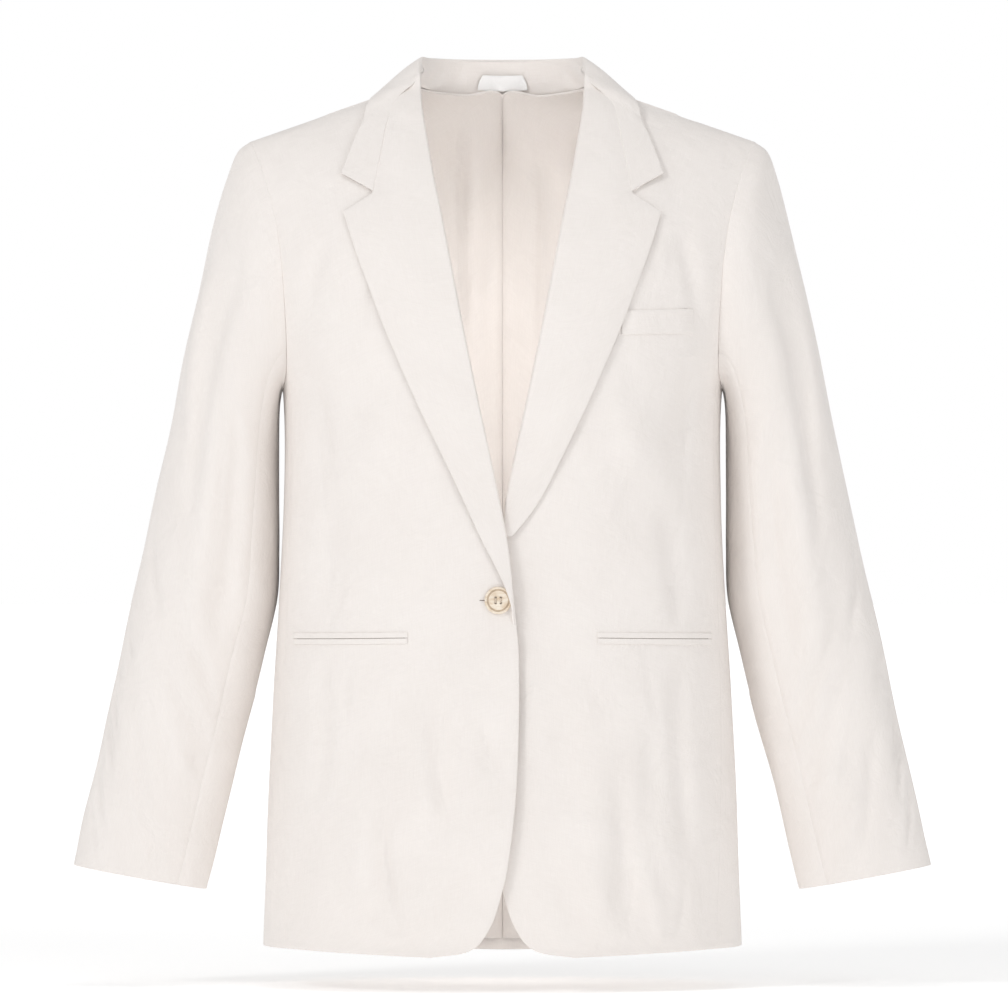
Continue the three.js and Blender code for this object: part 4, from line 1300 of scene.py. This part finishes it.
def make_half(side, word):
    """One half's cloth except its front, which the main loop makes beside its pockets."""
    sheet(dress_cloth(back(side, word), f"back_{word}"))
    sheet(dress_cloth(side_panel(side, word), f"side_{word}"))
    to_front = SLEEVE_SEAM_FRONT + RING_POINTS
    top = sleeve(side, word, "top", SLEEVE_SEAM_BACK, to_front, SLEEVE_TOP_COLUMNS)
    sheet(dress_cloth(top, f"sleeve_top_{word}"))
    under = sleeve(side, word, "under", SLEEVE_SEAM_FRONT, SLEEVE_SEAM_BACK, SLEEVE_UNDER_COLUMNS)
    sheet(dress_cloth(under, f"sleeve_under_{word}"))
    turned = dress_cloth(lapel(side, word), f"lapel_{word}")
    sheet(turned, [f"front_{word}_cloth"])
    lining = dress(back_lining(side, word), SATIN, "lining", f"lining_back_{word}")
    sheet(lining)
    sheet(dress_cloth(hem_turnup(side, word), f"hem_turnup_{word}"))


def jetted_pocket(side, word):
    """Two narrow jets and the dark slit of painted shade between them."""
    pieces = []
    for part, top, bottom in (("upper", JET_OUTER, JET_INNER), ("lower", -JET_INNER, -JET_OUTER)):
        name = f"jet_{part}_{word}"
        heights = POCKET_Z + top, POCKET_Z + bottom
        jet = pocket_strip(side, f"{name}_cloth", POCKET_FROM, POCKET_TO, *heights, POCKET_DROP)
        pieces.append(dress_cloth(jet, name))
    ends = POCKET_FROM + 2, POCKET_TO - 3
    # The slit is a dark sheet of painted shade in the pocket's mouth.
    slit = pocket_slit(side, f"pocket_slit_{word}", *ends, POCKET_Z, POCKET_DROP, 0.75)
    pieces.append(dress(slit, SHADE, "lining"))
    return pieces


def breast_pocket():
    heights = WELT_TOP, WELT_TOP - WELT_HEIGHT
    welt = pocket_strip(LEFT, "breast_welt_cloth", WELT_FROM, WELT_TO, *heights, WELT_DROP)
    mouth = WELT_TOP + BREAST_SLIT_RISE
    # The breast pocket's slit is a dark lens of painted shade above the welt.
    slit = pocket_slit(LEFT, "breast_slit", BREAST_SLIT_FROM, WELT_TO, mouth, -BREAST_SLIT_RISE, 0.7)
    return [dress_cloth(welt, "breast_welt"), dress(slit, SHADE, "lining")]


def buttonhole():
    # The buttonhole is a thin dark lens of painted shade.
    hole = pocket_slit(RIGHT, "buttonhole", BUTTONHOLE_FROM, BUTTONHOLE_TO, BUTTON_Z, 0, 0.22)
    return [dress(hole, SHADE, "lining")]


fronts, pockets = {}, {}
for word, side in SIDES.items():
    fronts[word] = dress_cloth(front(side, word), f"front_{word}")
    make_half(side, word)
    pockets[word] = jetted_pocket(side, word)
sheet(dress_cloth(collar(), "collar_fall", "collar_stand"))
sheet(dress(neck_label(), TAPE, "label", "label"), ["collar_cloth"])
pockets["left"] += breast_pocket()
pockets["right"] += buttonhole()
for word, piece in fronts.items():
    sheet(piece, with_pieces=pockets[word])
button()
dress(button_thread(), THREAD, "button")

# ---- camera, floor and light ----

CAMERA_DISTANCE = 8.0
VIEW_WIDTH = 0.8568  # what the frame shows at the shoulder line's depth
CAMERA_X, HORIZON_Z = 0.0013, -0.3434
FLOOR_SIZE, FLOOR_Z = 30.0, -0.752
GLOW = {"From Min": 0.4, "From Max": 4.0, "To Min": 0.36, "To Max": 0.75}  # by distance behind the blazer


def place_camera():
    data = bpy.data.cameras.new("camera")
    data.sensor_width = 36.0
    data.lens = data.sensor_width * CAMERA_DISTANCE / VIEW_WIDTH
    data.clip_end = 60.0
    camera = add_object("camera", data)
    camera.location = (CAMERA_X, -CAMERA_DISTANCE, HORIZON_Z)
    camera.rotation_euler = (math.pi / 2, 0, 0)
    bpy.context.scene.camera = camera


def studio_floor():
    corners = [(-1, -1), (1, -1), (1, 1), (-1, 1)]
    points = [(x * FLOOR_SIZE, y * FLOOR_SIZE, FLOOR_Z) for x, y in corners]
    floor = add_mesh("floor", points, [(0, 1, 2, 3)])
    material, tree, shader = new_material("studio_floor")
    pale, white = (0.93, 0.93, 0.93, 1), (1, 1, 1, 1)
    set_inputs(shader, {"Base Color": pale, "Roughness": 0.9, "Emission Color": white})
    depth = node(tree, "ShaderNodeSeparateXYZ", {0: object_place(tree)}).outputs[1]
    glow = node(tree, "ShaderNodeMapRange", {"Value": depth, **GLOW}, interpolation_type="SMOOTHSTEP")
    tree.links.new(glow.outputs[0], shader.inputs["Emission Strength"])
    floor.data.materials.append(material)


def studio_world(seen, light):
    """White where the camera looks past the blazer, and a softer even light on it."""
    world = bpy.data.worlds.new("studio")
    world.use_nodes = True
    tree = world.node_tree
    tree.nodes.clear()
    path = node(tree, "ShaderNodeLightPath").outputs["Is Camera Ray"]
    strength = plus(tree, times(tree, path, seen - light), light)
    background = node(tree, "ShaderNodeBackground", {"Color": (1, 1, 1, 1), "Strength": strength})
    node(tree, "ShaderNodeOutputWorld", {"Surface": background.outputs[0]})
    bpy.context.scene.world = world


def area_light(name, place, turn, power, **form):
    data = bpy.data.lights.new(name, "AREA")
    for key, value in form.items():
        setattr(data, key, value)
    data.energy = power
    light = add_object(name, data)
    light.location = place
    light.rotation_euler = turn
    return light


def soft_box(name, place, target, size, power):
    """A round light that shines on a target."""
    direction = np.array(target) - np.array(place)
    yaw = math.atan2(direction[1], direction[0])
    pitch = math.atan2(direction[2], math.hypot(direction[0], direction[1]))
    turn = (math.pi / 2 + pitch, 0, yaw - math.pi / 2)
    area_light(name, place, turn, power, shape="DISK", size=size)


def strip_light(name, place, width, height, power):
    """A soft upright light within the hollow, shining on the back lining."""
    form = {"shape": "RECTANGLE", "size": width, "size_y": height}
    area_light(name, place, (math.pi / 2, 0, 0), power, **form).visible_camera = False


place_camera()
studio_floor()
studio_world(1.0, 0.50)
soft_box("key", (-3.0, -3.2, 2.3), (0, 0, -0.3), 1.2, 57)
soft_box("fill", (3.0, -3.6, 0.6), (0, 0, -0.4), 2.0, 27)
soft_box("top", (0, -0.9, 2.6), (0, 0, -0.1), 1.8, 11)
strip_light("inside", (0, -0.03, -0.21), 0.02, 0.26, 0.22)
strip_light("inside_low", (0, -0.01, -0.56), 0.05, 0.24, 0.10)
bpy.context.scene.view_settings.view_transform = "Standard"
